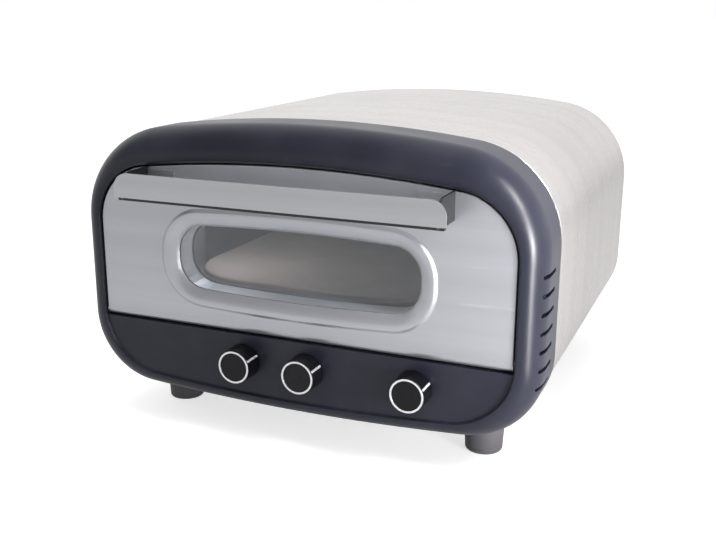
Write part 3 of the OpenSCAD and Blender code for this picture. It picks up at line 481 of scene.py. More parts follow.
# %% [markdown]
# ### Brushed steels
# The wrap was brushed round the body before it was bent, so its grain runs round the oven. The door and
# the pull were brushed along their length. The plated sheets and the screws have an even fine grain. They
# could be six separate materials built by hand, but one recipe with its own stretch, tone and gloss for
# each keeps them related.

# %% Brushed steel finishes
GRAIN_SHADE, SCRATCH_SHADE, EDGE_SHADE = 0.8, 1.35, 1.4


def brushed_steel(name, tone, stretch, rough, depth, bands, metallic=0.85, wear=0.5, painted_zone=None, painted_light_gain=1.0):
    """Brushed metal; bands is the contrast of the brushing, and the part that a mask picks is painted
    lighter or darker by a factor, as painted light or shade.
    """
    tree, shader, place = start_finish(name, Metallic=metallic)
    grain = use(tree, GRAIN, Vector=place, Stretch=stretch, Depth=depth)
    marks = use(tree, MARKS, Vector=place, Patch_size=0.07)
    edge = use(tree, WEAR, Vector=place, Width=0.7 * MM, Amount=wear)["Wear"]
    broad = remap(tree, grain["Bands"], 0.3, 0.7)
    colour = blend(tree, broad, shade(tone, 1 - bands), shade(tone, 1 + bands))
    colour = lay_over(tree, colour, grain["Grain"], 0.35, shade(tone, GRAIN_SHADE))
    colour = lay_over(tree, colour, marks["Scratch"], 0.35, shade(tone, SCRATCH_SHADE))
    colour = blend(tree, edge, colour, shade(tone, EDGE_SHADE))
    if painted_zone is not None:
        colour = blend(tree, painted_zone(tree, place), colour, shade(tone, painted_light_gain))
    gloss = add_share(tree, rough - 0.06, grain["Grain"], 0.12)
    gloss = add_share(tree, gloss, marks["Smudge"], 0.06)
    gloss = add_share(tree, gloss, edge, -0.08)
    wire(tree, shader, Base_Color=colour, Roughness=gloss, Normal=grain["Normal"])


ROUND, ALONG = (14, 700, 14), (5, 1100, 1100)
# The wrap's bead is painted half as bright again, a painted highlight; the pull's lip and legs a tenth as
# bright, a painted shadow.
brushed_steel("wrap_steel", (0.68, 0.645, 0.645), ROUND, 0.27, 0.4, 0.05, 0.9, painted_zone=bead_highlight_mask, painted_light_gain=1.5)
brushed_steel("door_steel", (0.53, 0.535, 0.575), (5, 900, 900), 0.32, 0.2, 0.07, 0.75)
brushed_steel("handle_steel", (0.59, 0.6, 0.64), ALONG, 0.3, 0.2, 0.06)
brushed_steel("pull_steel", (0.59, 0.6, 0.635), ALONG, 0.3, 0.2, 0.06, painted_zone=fold_shadow_mask, painted_light_gain=0.1)
brushed_steel("plated_steel", (0.40, 0.40, 0.41), (40, 40, 40), 0.38, 0.1, 0.15)
brushed_steel("screw_steel", (0.45, 0.45, 0.47), (260, 260, 260), 0.3, 0.15, 0.1, wear=0.9)
print("finishes so far:", sorted(FINISHES))

# %% [markdown]
# ### Dark mouldings
# The bezel is a semi-gloss charcoal moulding, slightly blue where light grazes it. The knobs are a
# glossier black. The socket at the back and the rubber feet are plainer. A plain black shader would look
# like a hole, so all get the same fine skin, with dust and rub marks at their own strength.

# %% Moulded plastic finishes
def moulding(name, tone, dusty, rough, specular, scale=1500.0, depth=0.18, wear=0.5):
    """Moulded plastic or rubber; dusty is the colour of its dust and of its rubbed edges."""
    tree, shader, place = start_finish(name, Specular_IOR_Level=specular)
    skin = use(tree, SKIN_TEXTURE, Vector=place, Scale=scale, Depth=depth)
    marks = use(tree, MARKS, Vector=place, Patch_size=0.09, Amount=1.0)
    edge = use(tree, WEAR, Vector=place, Width=0.6 * MM, Amount=wear)["Wear"]
    broad = remap(tree, skin["Gloss"], 0.35, 0.65)
    colour = blend(tree, broad, shade(tone, 0.88), shade(tone, 1.12))
    for mask, strength in ((marks["Smudge"], 0.16), (marks["Scratch"], 0.12), (edge, 0.35)):
        colour = lay_over(tree, colour, mask, strength, dusty)
    gloss = add_share(tree, rough - 0.05, skin["Gloss"], 0.1)
    gloss = add_share(tree, gloss, marks["Smudge"], 0.07)
    wire(tree, shader, Base_Color=colour, Roughness=gloss, Normal=skin["Normal"])


moulding("bezel_plastic", (0.016, 0.017, 0.028), (0.06, 0.06, 0.07), 0.32, 0.32)
moulding("knob_plastic", (0.005, 0.005, 0.007), (0.03, 0.03, 0.035), 0.22, 0.25, 1900.0, 0.08)
moulding("inlet_plastic", (0.012, 0.012, 0.013), (0.05, 0.05, 0.05), 0.36, 0.45)
moulding("foot_rubber", (0.095, 0.09, 0.1), (0.2, 0.19, 0.19), 0.55, 0.35, 900.0, 0.35, 0.8)
print("finishes so far:", sorted(FINISHES))

# %% [markdown]
# ### Liner and heating rods
# The cavity is aluminised sheet. Its colour is painted bright near the door, as painted light, and dark
# blue-grey towards the back, as painted shade deep in the cavity. A texture image could show that, but
# here the tone simply follows the depth, with a little noise so that the border isn't a straight line.
# The rods have a dark oxide skin that is mottled where they run hottest.

# %% Painted depth shade group
def heat_tint():
    inputs = {"Vector": ("Vector", None), "Start": ("Float", 0.0), "End": ("Float", 0.1)}
    tree, given, result = start_group("heat_tint", inputs, {"Depth": "Float", "Cloud": "Float"})
    cloud = noise(tree, given["Vector"], 26, detail=4, roughness=0.6)
    wander = maths(tree, "SUBTRACT", cloud, 0.5)
    shifted = add_share(tree, axis_of(tree, given["Vector"], "Y"), wander, 8 * MM)
    wire(tree, result, Depth=remap(tree, shifted, given["Start"], given["End"]), Cloud=cloud)
    return tree


DEPTH_SHADE = heat_tint()
print("made", DEPTH_SHADE.name)

# %% [markdown]
# ### The liner's sheet and the rods' oxide
# Both finishes are short, because the effects do the work. The liner's painted shade sets in within a
# few millimetres of depth, so the painted light at the front ends at a sharp edge.

# %% Liner and rod finishes
LINER_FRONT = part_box("oven_liner")[0].y
SHADE_START, SHADE_END = LINER_FRONT + 118 * MM, LINER_FRONT + 124 * MM


def liner_finish():
    tree, shader, place = start_finish("liner_steel", Metallic=0.6)
    shade_step = use(tree, DEPTH_SHADE, Vector=place, Start=SHADE_START, End=SHADE_END)
    grain = use(tree, GRAIN, Vector=place, Stretch=(30, 4, 30), Depth=0.1)
    # The front is painted bright as painted light and the back dark blue-grey as painted shade; the noise
    # only varies each tone.
    bright = blend(tree, shade_step["Cloud"], (0.67, 0.675, 0.71), (0.75, 0.75, 0.79))
    patches = remap(tree, shade_step["Cloud"], 0.4, 0.62)
    shaded_back = blend(tree, patches, (0.16, 0.185, 0.22), (0.21, 0.21, 0.225))
    colour = blend(tree, shade_step["Depth"], bright, shaded_back)
    gloss = add_share(tree, 0.36, grain["Grain"], 0.16)
    wire(tree, shader, Base_Color=colour, Roughness=gloss, Normal=grain["Normal"])


def rod_finish():
    tree, shader, place = start_finish("rod_steel", Metallic=0.7)
    cloud = noise(tree, place, 60, detail=4, roughness=0.6)
    fine = noise(tree, place, 900, detail=2, roughness=0.5)
    colour = blend(tree, remap(tree, cloud, 0.38, 0.64), (0.05, 0.045, 0.042), (0.13, 0.11, 0.1))
    colour = lay_over(tree, colour, fine, 0.25, (0.17, 0.15, 0.15))
    gloss = add_share(tree, 0.42, cloud, 0.2)
    wire(tree, shader, Base_Color=colour, Roughness=gloss, Normal=bump(tree, fine, 0.25, 0.2 * MM))


liner_finish()
rod_finish()
print("liner turns dark between", round(SHADE_START, 3), "and", round(SHADE_END, 3))

# %% [markdown]
# ### Stone, ceramic and wool
# The stone is fired cordierite: a fine open grain with darker specks, in a warm pink-brown that is a
# little browner where dough has been baked. The bushes are pale ceramic, and the insulation is a fibre
# mat. All three are grainy, so one group with cells for the specks and noise for the grain serves them.

# %% Mineral finishes
def stone_grain():
    inputs = {"Vector": ("Vector", None), "Grain size": ("Float", 0.0016), "Depth": ("Float", 0.5)}
    outputs = {"Speck": "Float", "Cloud": "Float", "Normal": "Vector"}
    tree, given, result = start_group("stone_grain", inputs, outputs)
    scale = maths(tree, "DIVIDE", 1.0, given["Grain size"])
    cells = put(tree, "ShaderNodeTexVoronoi", {"Vector": given["Vector"], "Scale": scale})
    speck = remap(tree, cells.outputs["Distance"], 0.34, 0.12)
    cloud = noise(tree, given["Vector"], 9, detail=4, roughness=0.6)
    fine = noise(tree, given["Vector"], scale, detail=3, roughness=0.65)
    wire(tree, result, Speck=speck, Cloud=cloud, Normal=bump(tree, fine, given["Depth"], 0.6 * MM))
    return tree


STONE_GRAIN = stone_grain()


def mineral(name, pale, dark, specks, grain_size, rough, depth, specular):
    """Grainy fired or felted stuff in two tones with specks of a third."""
    tree, shader, place = start_finish(name, Specular_IOR_Level=specular)
    grain = use(tree, STONE_GRAIN, Vector=place, Grain_size=grain_size, Depth=depth)
    colour = blend(tree, remap(tree, grain["Cloud"], 0.34, 0.68), pale, dark)
    colour = lay_over(tree, colour, grain["Speck"], 0.4, specks)
    gloss = add_share(tree, rough, grain["Cloud"], 0.1)
    wire(tree, shader, Base_Color=colour, Roughness=gloss, Normal=grain["Normal"])


mineral("stone", (0.52, 0.43, 0.38), (0.41, 0.34, 0.3), (0.24, 0.19, 0.16), 1.6 * MM, 0.78, 0.5, 0.25)
mineral("ceramic", (0.78, 0.75, 0.68), (0.7, 0.67, 0.6), (0.6, 0.56, 0.48), 0.9 * MM, 0.35, 0.1, 0.5)
mineral("wool", (0.66, 0.62, 0.5), (0.52, 0.48, 0.38), (0.4, 0.36, 0.27), 2.2 * MM, 0.9, 1.0, 0.1)
print("finishes so far:", sorted(FINISHES))

# %% [markdown]
# ### Bright trims, brass and control cases
# The knob rings are plated, the brass parts are turned and slightly dull, and the control cases are
# passivated sheet. These parts are too small to show a grain, so their recipe leaves it out and keeps a
# cloud of tarnish, smudges and brighter edges.

# %% Small metal finishes
def small_metal(name, tone, tarnish, rough, metallic=1.0):
    """Turned or plated metal that is a little dull where tarnish has set in."""
    tree, shader, place = start_finish(name, Metallic=metallic)
    cloud = remap(tree, noise(tree, place, 55, detail=4, roughness=0.6), 0.36, 0.66)
    marks = use(tree, MARKS, Vector=place, Patch_size=0.02)
    edge = use(tree, WEAR, Vector=place, Width=0.4 * MM, Amount=0.6)["Wear"]
    colour = blend(tree, edge, lay_over(tree, tone, cloud, 0.6, tarnish), shade(tone, 1.25))
    gloss = add_share(tree, add_share(tree, rough, cloud, 0.14), marks["Smudge"], 0.06)
    wire(tree, shader, Base_Color=colour, Roughness=gloss)


small_metal("trim_metal", (0.88, 0.88, 0.9), (0.78, 0.78, 0.8), 0.2, metallic=0.4)
small_metal("brass_parts", (0.62, 0.44, 0.2), (0.42, 0.28, 0.13), 0.3)
small_metal("control_metal", (0.56, 0.52, 0.42), (0.44, 0.4, 0.33), 0.36)
print("finishes so far:", sorted(FINISHES))

# %% [markdown]
# ### Glass
# The panes are clear toughened glass with a faint blue cast and a little haze where they are wiped.
# Glass that bends light also blocks the light of lamps, so the cavity would turn black. Rays that ask
# whether a lamp is hidden therefore pass through nine tenths of it.

# %% Glass
SHADOW_SHARE = 0.9


def glass_finish():
    tree, shader, place = start_finish("glass", Transmission_Weight=1.0, IOR=1.5)
    marks = use(tree, MARKS, Vector=place, Patch_size=0.04)
    colour = blend(tree, marks["Smudge"], (0.93, 0.955, 0.985), (0.91, 0.94, 0.97))
    gloss = add_share(tree, 0.015, marks["Smudge"], 0.05)
    shadow = put(tree, "ShaderNodeLightPath").outputs["Is Shadow Ray"]
    wire(tree, shader, Base_Color=colour, Roughness=gloss, Alpha=add_share(tree, 1.0, shadow, -SHADOW_SHARE))


glass_finish()
print("glass lets", SHADOW_SHARE, "of the lamps' light through")

# %% [markdown]
# ### Braided seal
# The seal is a glass fibre braid: strands cross each other in two directions round a cord. The strands
# could be modelled one by one, but that takes many thousands of faces for a piece behind the door. Two
# sets of waves do it here, drawn along and round the cord from two attributes that the sweep leaves.

# %% Braid
STRAND_WIDTH, STRAND_TURNS = 2.2 * MM, 6.0


def braid_finish():
    tree, shader, place = start_finish("seal_braid", Specular_IOR_Level=0.25)
    along = put(tree, "ShaderNodeAttribute", attribute_name="along").outputs["Fac"]
    around = put(tree, "ShaderNodeAttribute", attribute_name="around").outputs["Fac"]
    length = maths(tree, "MULTIPLY", along, 1 / STRAND_WIDTH)
    turn = maths(tree, "MULTIPLY", around, STRAND_TURNS)
    waves = []
    for direction in ("ADD", "SUBTRACT"):
        phase = maths(tree, "MULTIPLY", maths(tree, direction, length, turn), math.pi)
        waves.append(maths(tree, "ABSOLUTE", maths(tree, "SINE", phase)))
    weave = maths(tree, "MAXIMUM", *waves)
    cloud = noise(tree, place, 70, detail=3, roughness=0.6)
    # The troughs between the strands are painted dark, as painted shade, and the crowns of the strands
    # light.
    colour = blend(tree, weave, (0.05, 0.05, 0.05), (0.2, 0.19, 0.18))
    colour = lay_over(tree, colour, cloud, 0.4, (0.12, 0.11, 0.1))
    gloss = add_share(tree, 0.8, cloud, 0.1)
    wire(tree, shader, Base_Color=colour, Roughness=gloss, Normal=bump(tree, weave, 0.7, 0.4 * MM))


braid_finish()
worn = {node.material_slots[0].material.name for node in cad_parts.values()}
print("slots without a finish:", sorted(worn - set(FINISHES)))

# %% [markdown]
# ## Mesh tools: pieces and modifiers
# Modifiers such as Bevel are the easiest way to round or cut a mesh, but a live one would be worked out
# again at every pose of the oven. So each modifier runs once, and its result replaces the mesh.

# %% Pieces and modifiers
def new_object(name, mesh):
    obj = bpy.data.objects.new(name, mesh)
    bpy.context.scene.collection.objects.link(obj)
    return obj


def face_outward(mesh):
    """Merge doubled points, then point every face out of the solid."""
    bm = bmesh.new()
    bm.from_mesh(mesh)
    bmesh.ops.remove_doubles(bm, verts=bm.verts, dist=1e-7)
    bmesh.ops.recalc_face_normals(bm, faces=bm.faces)
    bm.to_mesh(mesh)
    bm.free()


def apply_step(obj, kind, **settings):
    """Run one modifier on a piece and keep only the mesh that it makes."""
    step = obj.modifiers.new("step", kind)
    for key, value in settings.items():
        setattr(step, key, value)
    graph = bpy.context.evaluated_depsgraph_get()
    mesh = bpy.data.meshes.new_from_object(obj.evaluated_get(graph))
    obj.modifiers.clear()
    obj.data = mesh
    return obj


def smooth(obj, angle):
    """Smooth shading that breaks at edges sharper than angle and keeps large faces flat."""
    obj.data.shade_smooth()
    obj.data.set_sharp_from_angle(angle=math.radians(angle))
    return apply_step(obj, "WEIGHTED_NORMAL", keep_sharp=True, weight=50)


print("piece tools ready")

# %% [markdown]
# ## Mesh tools: lofts
# A loft joins rings of equal length, a hoop is a loft whose last ring joins the first, and a lathe turns
# a profile about an axis along Y. Blender can also skin curves, but these make one clean quad for each
# pair of points, which bevels and cuts need.

# %% Lofts
def loft(name, rings, hoop=False):
    """Solid through the rings; a hoop closes on itself, anything else gets flat ends."""
    n, m = len(rings[0]), len(rings)
    faces = []
    for k in range(m if hoop else m - 1):
        q = ((k + 1) % m) * n
        faces += [(k * n + i, k * n + (i + 1) % n, q + (i + 1) % n, q + i) for i in range(n)]
    if not hoop:
        faces += [tuple(range(n)), tuple(range((m - 1) * n, m * n))]
    mesh = bpy.data.meshes.new(name)
    mesh.from_pydata([p for r in rings for p in r], [], faces)
    face_outward(mesh)
    return new_object(name, mesh)


def prism(name, line, y0, y1):
    return loft(name, [ring(line, y0), ring(line, y1)])


def side_prism(name, shape, xs):
    """Prism along X between two values of x; shape holds (depth, height) pairs."""
    return loft(name, [[Vector((x, FACE_Y + p[0], p[1])) for p in shape] for x in xs])


def box_solid(name, lo, hi):
    """Box between two corners, with depths measured from the door face."""
    corners = [(lo[0], lo[2]), (hi[0], lo[2]), (hi[0], hi[2]), (lo[0], hi[2])]
    return prism(name, corners, lo[1], hi[1])


def circle_points(cx, cz, radius, steps):
    return arc_points(cx, cz, max(radius, 1e-6), 0, 360, steps)[:-1]


def lathe(name, profile, centre, steps=96, hoop=False):
    """Turn (radius, depth) pairs about the line along Y through centre, an (x, z) pair."""
    return loft(name, [ring(circle_points(*centre, radius, steps), y) for radius, y in profile], hoop)


print("loft tools ready")

# %% [markdown]
# ## Mesh tools: cuts, roundings and handing over
# Booleans cut and join solids, as milling and welding do. A finished piece then gets its finish and its
# slot, takes the place of the construction nodes that it stands for, and rides on their body.

# %% Cuts, roundings and handing over
def combine(target, tools, operation="DIFFERENCE"):
    """Cut or join the tools one after another and drop them."""
    for tool in tools:
        apply_step(target, "BOOLEAN", object=tool, operation=operation, solver="MANIFOLD")
        bpy.data.objects.remove(tool)
    return target


def bevel(obj, width, segments, angle):
    """Round the edges that are sharper than angle."""
    limit = math.radians(angle)
    return apply_step(obj, "BEVEL", width=width, segments=segments, limit_method="ANGLE", angle_limit=limit)


def hand_over(obj, body, slot, *nodes, finish=None):
    """Give a piece its finish, its body and its nodes; finish names a material other than the slot's."""
    obj.data.name = obj.name
    obj.data.materials.clear()
    obj.data.materials.append(FINISHES[finish or slot])
    obj.data.polygons.foreach_set("material_index", [0] * len(obj.data.polygons))
    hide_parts(*nodes)
    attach(obj, body)
    print(obj.name, "rides on", body, "with", len(obj.data.polygons), "faces")


print("finishing tools ready")

# %% [markdown]
# ## Geometry Nodes for paths and repeats
# The heating rods and the door seal follow a path, and the screws and the vent slots repeat. They could
# be copied in a Python loop, but a node tree does both in one go and has named inputs for its sizes.
# Its result is turned into a plain mesh, so that the oven moves without any live modifier.

# %% Helpers for Geometry Nodes
def start_tree(name, inputs):
    """A geometry tree with a Geometry input and output; inputs are {name: (socket type, default)}."""
    tree = bpy.data.node_groups.new(name, "GeometryNodeTree")
    tree.is_modifier = True
    tree.interface.new_socket(name="Geometry", in_out="INPUT", socket_type="NodeSocketGeometry")
    tree.interface.new_socket(name="Geometry", in_out="OUTPUT", socket_type="NodeSocketGeometry")
    for title, (kind, value) in inputs.items():
        socket = tree.interface.new_socket(name=title, in_out="INPUT", socket_type="NodeSocket" + kind)
        if value is not None:
            socket.default_value = value
    return tree, tree.nodes.new("NodeGroupInput").outputs


def end_tree(tree, geometry, material):
    """Close a tree with Realize Instances and Set Material."""
    whole = put(tree, "GeometryNodeRealizeInstances", {"Geometry": geometry}).outputs[0]
    shown = put(tree, "GeometryNodeSetMaterial", {"Geometry": whole, "Material": material}).outputs[0]
    tree.links.new(shown, tree.nodes.new("NodeGroupOutput").inputs["Geometry"])
    return tree


def grow(name, data, tree, **values):
    """Run a tree on data and return a new object with the plain mesh that it makes."""
    carrier = new_object(name + "_carrier", data)
    step = carrier.modifiers.new("grow", "NODES")
    step.node_group = tree
    sockets = [i for i in tree.interface.items_tree if i.item_type == "SOCKET" and i.in_out == "INPUT"]
    identifiers = {socket.name: socket.identifier for socket in sockets}
    for key, value in values.items():
        step[identifiers[key.replace("_", " ")]] = value
    graph = bpy.context.evaluated_depsgraph_get()
    mesh = bpy.data.meshes.new_from_object(carrier.evaluated_get(graph))
    bpy.data.objects.remove(carrier)
    return new_object(name, mesh)


print("geometry helpers ready")

# %% [markdown]
# ### A tree for tubes and cords
# A tube that is bent on a former has the same radius in every bend. Rounding the corners of a plain
# path gives those bends, and a circle swept along it gives the tube. The distance along the path and
# the place round the circle are stored, because a braid is drawn with them.

# %% Sweep tree
def sweep_tree():
    inputs = {"Radius": ("Float", 0.003), "Bend radius": ("Float", 0.01), "Bend steps": ("Int", 8)}
    inputs |= {"Sides": ("Int", 16), "Material": ("Material", None)}
    tree, given = start_tree("sweep_along_path", inputs)
    bends = {"Curve": given["Geometry"], "Radius": given["Bend radius"], "Count": given["Bend steps"]}
    bends |= {"Limit Radius": True}
    path = put(tree, "GeometryNodeFilletCurve", bends, mode="POLY").outputs[0]
    circle = {"Resolution": given["Sides"], "Radius": given["Radius"]}
    section = put(tree, "GeometryNodeCurvePrimitiveCircle", circle).outputs[0]
    stored = []
    for name, geometry, field in (("along", path, "Length"), ("around", section, "Factor")):
        value = put(tree, "GeometryNodeSplineParameter").outputs[field]
        inputs = {"Geometry": geometry, "Name": name, "Value": value}
        node = put(tree, "GeometryNodeStoreNamedAttribute", inputs, data_type="FLOAT", domain="POINT")
        stored.append(node.outputs[0])
    sweep = {"Curve": stored[0], "Profile Curve": stored[1], "Fill Caps": True}
    tube = put(tree, "GeometryNodeCurveToMesh", sweep).outputs[0]
    return end_tree(tree, tube, given["Material"])


def path_curve(name, points):
    """Open curve of straight pieces through the points."""
    curve = bpy.data.curves.new(name, "CURVE")
    curve.dimensions = "3D"
    spline = curve.splines.new("POLY")
    spline.points.add(len(points) - 1)
    for target, p in zip(spline.points, points):
        target.co = (*p, 1)
    return curve


def sweep(name, points, finish, **sizes):
    """Tube or cord along the points; sizes are the tree's inputs."""
    return grow(name, path_curve(name + "_path", points), SWEEP, Material=FINISHES[finish], **sizes)


SWEEP = sweep_tree()
print("made", SWEEP.name)

# %% [markdown]
# ### A tree for repeats
# One piece is placed on every point that comes in. A screw ends its turn at any angle, so each
# copy may be turned about its own axis by a random amount, from a fixed seed.

# %% Repeat tree
def repeat_tree():
    inputs = {"Piece": ("Object", None), "Axis": ("Vector", (0, 0, 0)), "Seed": ("Int", 1)}
    inputs |= {"Material": ("Material", None)}
    tree, given = start_tree("repeat_on_points", inputs)
    cloud = put(tree, "GeometryNodeMeshToPoints", {"Mesh": given["Geometry"]}).outputs[0]
    piece = put(tree, "GeometryNodeObjectInfo", {"Object": given["Piece"]}).outputs["Geometry"]
    draw = put(tree, "FunctionNodeRandomValue", {"Max": math.tau, "Seed": given["Seed"]}, data_type="FLOAT")
    angle = next(socket for socket in draw.outputs if socket.enabled)
    turn = put(tree, "ShaderNodeVectorMath", {0: given["Axis"], "Scale": angle}, operation="SCALE")
    inputs = {"Points": cloud, "Instance": piece, "Rotation": turn.outputs[0]}
    copies = put(tree, "GeometryNodeInstanceOnPoints", inputs).outputs[0]
    return end_tree(tree, copies, given["Material"])


def repeat(name, piece, places, slot, axis=(0, 0, 0), seed=1):
    """One mesh with a copy of piece on every place; the piece itself is dropped."""
    cloud = bpy.data.meshes.new(name + "_points")
    cloud.from_pydata(places, [], [])
    made = grow(name, cloud, REPEAT, Piece=piece, Axis=axis, Seed=seed, Material=FINISHES[slot])
    bpy.data.objects.remove(piece)
    return made


REPEAT = repeat_tree()
print("made", REPEAT.name)

# %% [markdown]
# ## Front bezel: rings
# One moulding carries the rolled rim, the flat fascia and the throat that the door closes into. A bevel
# round a box would give a rim of one width, but here the rim is broad at the top and narrow at the
# bottom. So each ring is a mix of the body outline and the door outline. On its inner side the roll
# rounds over into the throat, but below the sill it eases down into the fascia instead, so each point
# is steered by its height.

# %% Rings of the bezel
CREST_MIX = 0.9
ROLL_DEPTH = 24 * MM
SILL_Z = DOOR_LOW - 0.8 * MM
FASCIA_EASE_Z, FASCIA_EASE_H = SILL_Z - 1 * MM, 16 * MM


def ease(t):
    """From 0 to 1, level at both ends."""
    t = min(max(t, 0.0), 1.0)
    return t * t * (3 - 2 * t)


def inner_slope(body, door, u):
    """Ring between the crest (u = 0) and the door line (u = 1)."""
    points = []
    for p, q in zip(body, door):
        low = ease((FASCIA_EASE_Z - q[1]) / FASCIA_EASE_H)
        angle = u * math.pi / 2
        w = (1 - low) * math.sin(angle) + low * u
        y = -CREST * ((1 - low) * math.cos(angle) + low * (1 + math.cos(math.pi * u)) / 2)
        w = CREST_MIX + (1 - CREST_MIX) * w
        points.append(Vector((p[0] * (1 - w) + q[0] * w, FACE_Y + y, p[1] * (1 - w) + q[1] * w)))
    return points


def outer_roll(body, door, degrees, wall=0.0):
    """Ring on the rounded front of the rim, from 0 degrees at the side to 90 at the crest."""
    a = math.radians(degrees)
    y = ROLL_DEPTH - (ROLL_DEPTH + CREST - wall) * math.sin(a)
    return ring(mix(body, door, CREST_MIX * (1 - math.cos(a))), y)


def roll_rings(body, door, steps, wall=0.0):
    """All rings of the roll, from the crest out to the side."""
    return [outer_roll(body, door, 90 - 90 * i / steps, wall) for i in range(steps + 1)]


print("crest", round(CREST, 4), "in front of the door face")

# %% [markdown]
# ## Front bezel: solid
# The shell is lofted from back to front and hollowed by a second loft. The throat is joined on, then the
# mouth, the rebate for the wrap and the vent slots are cut. Seven slots stand in a column on each side:
# the repeat tree places one cutter fourteen times, and one boolean cuts them all.

# %% Bezel
BEZEL_WALL = 2.5 * MM
THROAT_FRONT, THROAT_DEPTH = 1.5 * MM, 34 * MM
WRAP_OUT = 1.5 * MM
REBATE_INSET, REBATE_DEPTH = WRAP_OUT - 0.1 * MM, 8.5 * MM
BACK_EDGE = ((0, 0.6 * MM), (0.06 * MM, 0.3 * MM), (0.25 * MM, 0.08 * MM), (0.55 * MM, 0))
SLOPE_STEPS, ROLL_STEPS, HOLLOW_STEPS = 8, 20, 10
BARREL_RINGS = (30 * MM, 45 * MM)
SLOT_COUNT, SLOT_PITCH, SLOT_LOW, SLOT_H = 7, 15.8 * MM, 57.8 * MM, 3.6 * MM
SLOT_FRONT, SLOT_REAR, SLOT_REACH = 9 * MM, 41 * MM, 12 * MM
PAST = 1 * MM


def slot_cutters():
    """All slots of both sides, as one cutting mesh."""
    r = SLOT_H / 2
    shape = arc_points(SLOT_REAR - r, 0, r, -90, 90, 8) + arc_points(SLOT_FRONT + r, 0, r, 90, 270, 8)
    cutter = side_prism("slot", shape, (-SLOT_REACH, SLOT_REACH))
    levels = [LOW_Z + SLOT_LOW + SLOT_PITCH * i for i in range(SLOT_COUNT)]
    places = [(side * HALF_W, 0, z) for side in (-1, 1) for z in levels]
    return repeat("slot_cutters", cutter, places, "bezel_plastic")


def bezel_solid():
    body, door = body_line(), open_line()
    rings = [inner_slope(body, door, 1 - i / SLOPE_STEPS) for i in range(SLOPE_STEPS)]
    rings += roll_rings(body, door, ROLL_STEPS) + [ring(body, y) for y in BARREL_RINGS]
    rings += [ring(body_line(inset), BEZEL_BACK - y) for inset, y in BACK_EDGE]
    inner = body_line(BEZEL_WALL)
    hollow = [ring(door, BEZEL_WALL)] + roll_rings(inner, door, HOLLOW_STEPS, BEZEL_WALL)
    shell = combine(loft("bezel", rings), [loft("hollow", hollow + [ring(inner, BEZEL_BACK + PAST)])])
    throat_line = above(open_line(-BEZEL_WALL), SILL_Z - BEZEL_WALL)
    combine(shell, [prism("throat", throat_line, THROAT_FRONT, THROAT_DEPTH)], "UNION")
    mouth = prism("mouth", above(door, SILL_Z), -CREST - PAST, THROAT_DEPTH + PAST)
    rebate = prism("rebate", body_line(REBATE_INSET), BEZEL_BACK - REBATE_DEPTH, BEZEL_BACK + PAST)
    return combine(shell, [mouth, rebate, slot_cutters()])


hand_over(smooth(bezel_solid(), 28), "housing", "bezel_plastic", "front_bezel")

# %% [markdown]
# ## Wrap
# The sheet metal wrap is one bent sheet, open underneath. It could be a thin shell from the Solidify
# modifier, but a closed hoop of its own section also holds the small bead beside the bezel and the turned
# edge at the rear, and both catch a thin line of light.

# %% Wrap
WRAP_IN = WRAP_OUT + SHEET
WRAP_BAYS = 6
REAR_EDGE = ((1.5, 0.5), (1.6, 0.15), (1.8, 0), (2.2, 0), (2.4, 0.15), (2.5, 0.5))
BELLY_HALF, BELLY_H = 110 * MM, 40 * MM


def wrap_solid():
    front, back = WRAP_LO.y - FACE_Y, WRAP_HI.y - FACE_Y
    section = [(WRAP_OUT, front)] + [(WRAP_OUT - rise, BEAD_Y + y) for rise, y in BEAD]
    section += [(WRAP_OUT, front + (back - front) * i / WRAP_BAYS) for i in range(1, WRAP_BAYS)]
    section += [(inset * MM, back - y * MM) for inset, y in REAR_EDGE] + [(WRAP_IN, front)]
    shell = loft("wrap", [ring(body_line(inset), y) for inset, y in section], hoop=True)
    low, high = (-BELLY_HALF, front - PAST, 0), (BELLY_HALF, back + PAST, LOW_Z + BELLY_H)
    return combine(shell, [box_solid("belly", low, high)])


# The wrap's finish also paints the bead lighter, as a painted highlight.
hand_over(smooth(wrap_solid(), 30), "housing", "wrap_steel", "outer_shell")

# %% [markdown]
# ## Door skin: surround
# The window sits in a raised surround that is pressed into the sheet, and its inner lip meets the outer
# pane. A torus would stand on the sheet like a glued ring. A hoop with its own section swells out of the
# flat face with no crease, so the light runs on over it. It is a little wider and flatter than the
# construction's surround.

# %% Surround of the window
PRESSED_W = 13 * MM
SURROUND_W = PRESSED_W + 1.5 * MM
SURROUND_H = 0.75 * (FACE_Y - SKIN_LO.y)
SURROUND_CREST, SURROUND_DIP = 0.74 * SURROUND_W, 1.6 * MM
PANE_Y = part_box("outer_glass")[0].y - FACE_Y


def ease_in(t):
    """From 0 to 1, level at the start and steady at the end."""
    return 1.25 * t * t * (1 - 0.2 * t * t)


def surround_section():
    """(inset, depth) pairs once round the pressed sheet."""
    w, h, t, crest = SURROUND_W, SURROUND_H, SHEET, SURROUND_CREST
    front = [(-w - 0.4 * MM, 0.4 * MM)]
    front += [(-w + (w - crest) * i / 8, -h * ease(i / 8)) for i in range(9)]
    front += [(-crest + crest * i / 12, -h + (h + SURROUND_DIP) * ease_in(i / 12)) for i in range(1, 13)]
    front += [(0.8 * MM, 2.6 * MM), (1.5 * MM, 3.4 * MM), (2 * MM, PANE_Y)]
    rear = [(1 * MM, PANE_Y), (0.2 * MM, 3.2 * MM), (-1 * MM, 2.4 * MM), (-0.3 * crest, 0.2 * h + t)]
    rear += [(-0.8 * crest, -h + t * 1.3), (-crest, t - h), (-w + 0.2 * w, t - 0.5 * h), (-w, t * 0.75)]
    return front + rear


print("surround", round(SURROUND_W, 4), "wide and", round(SURROUND_H, 4), "proud of the door")

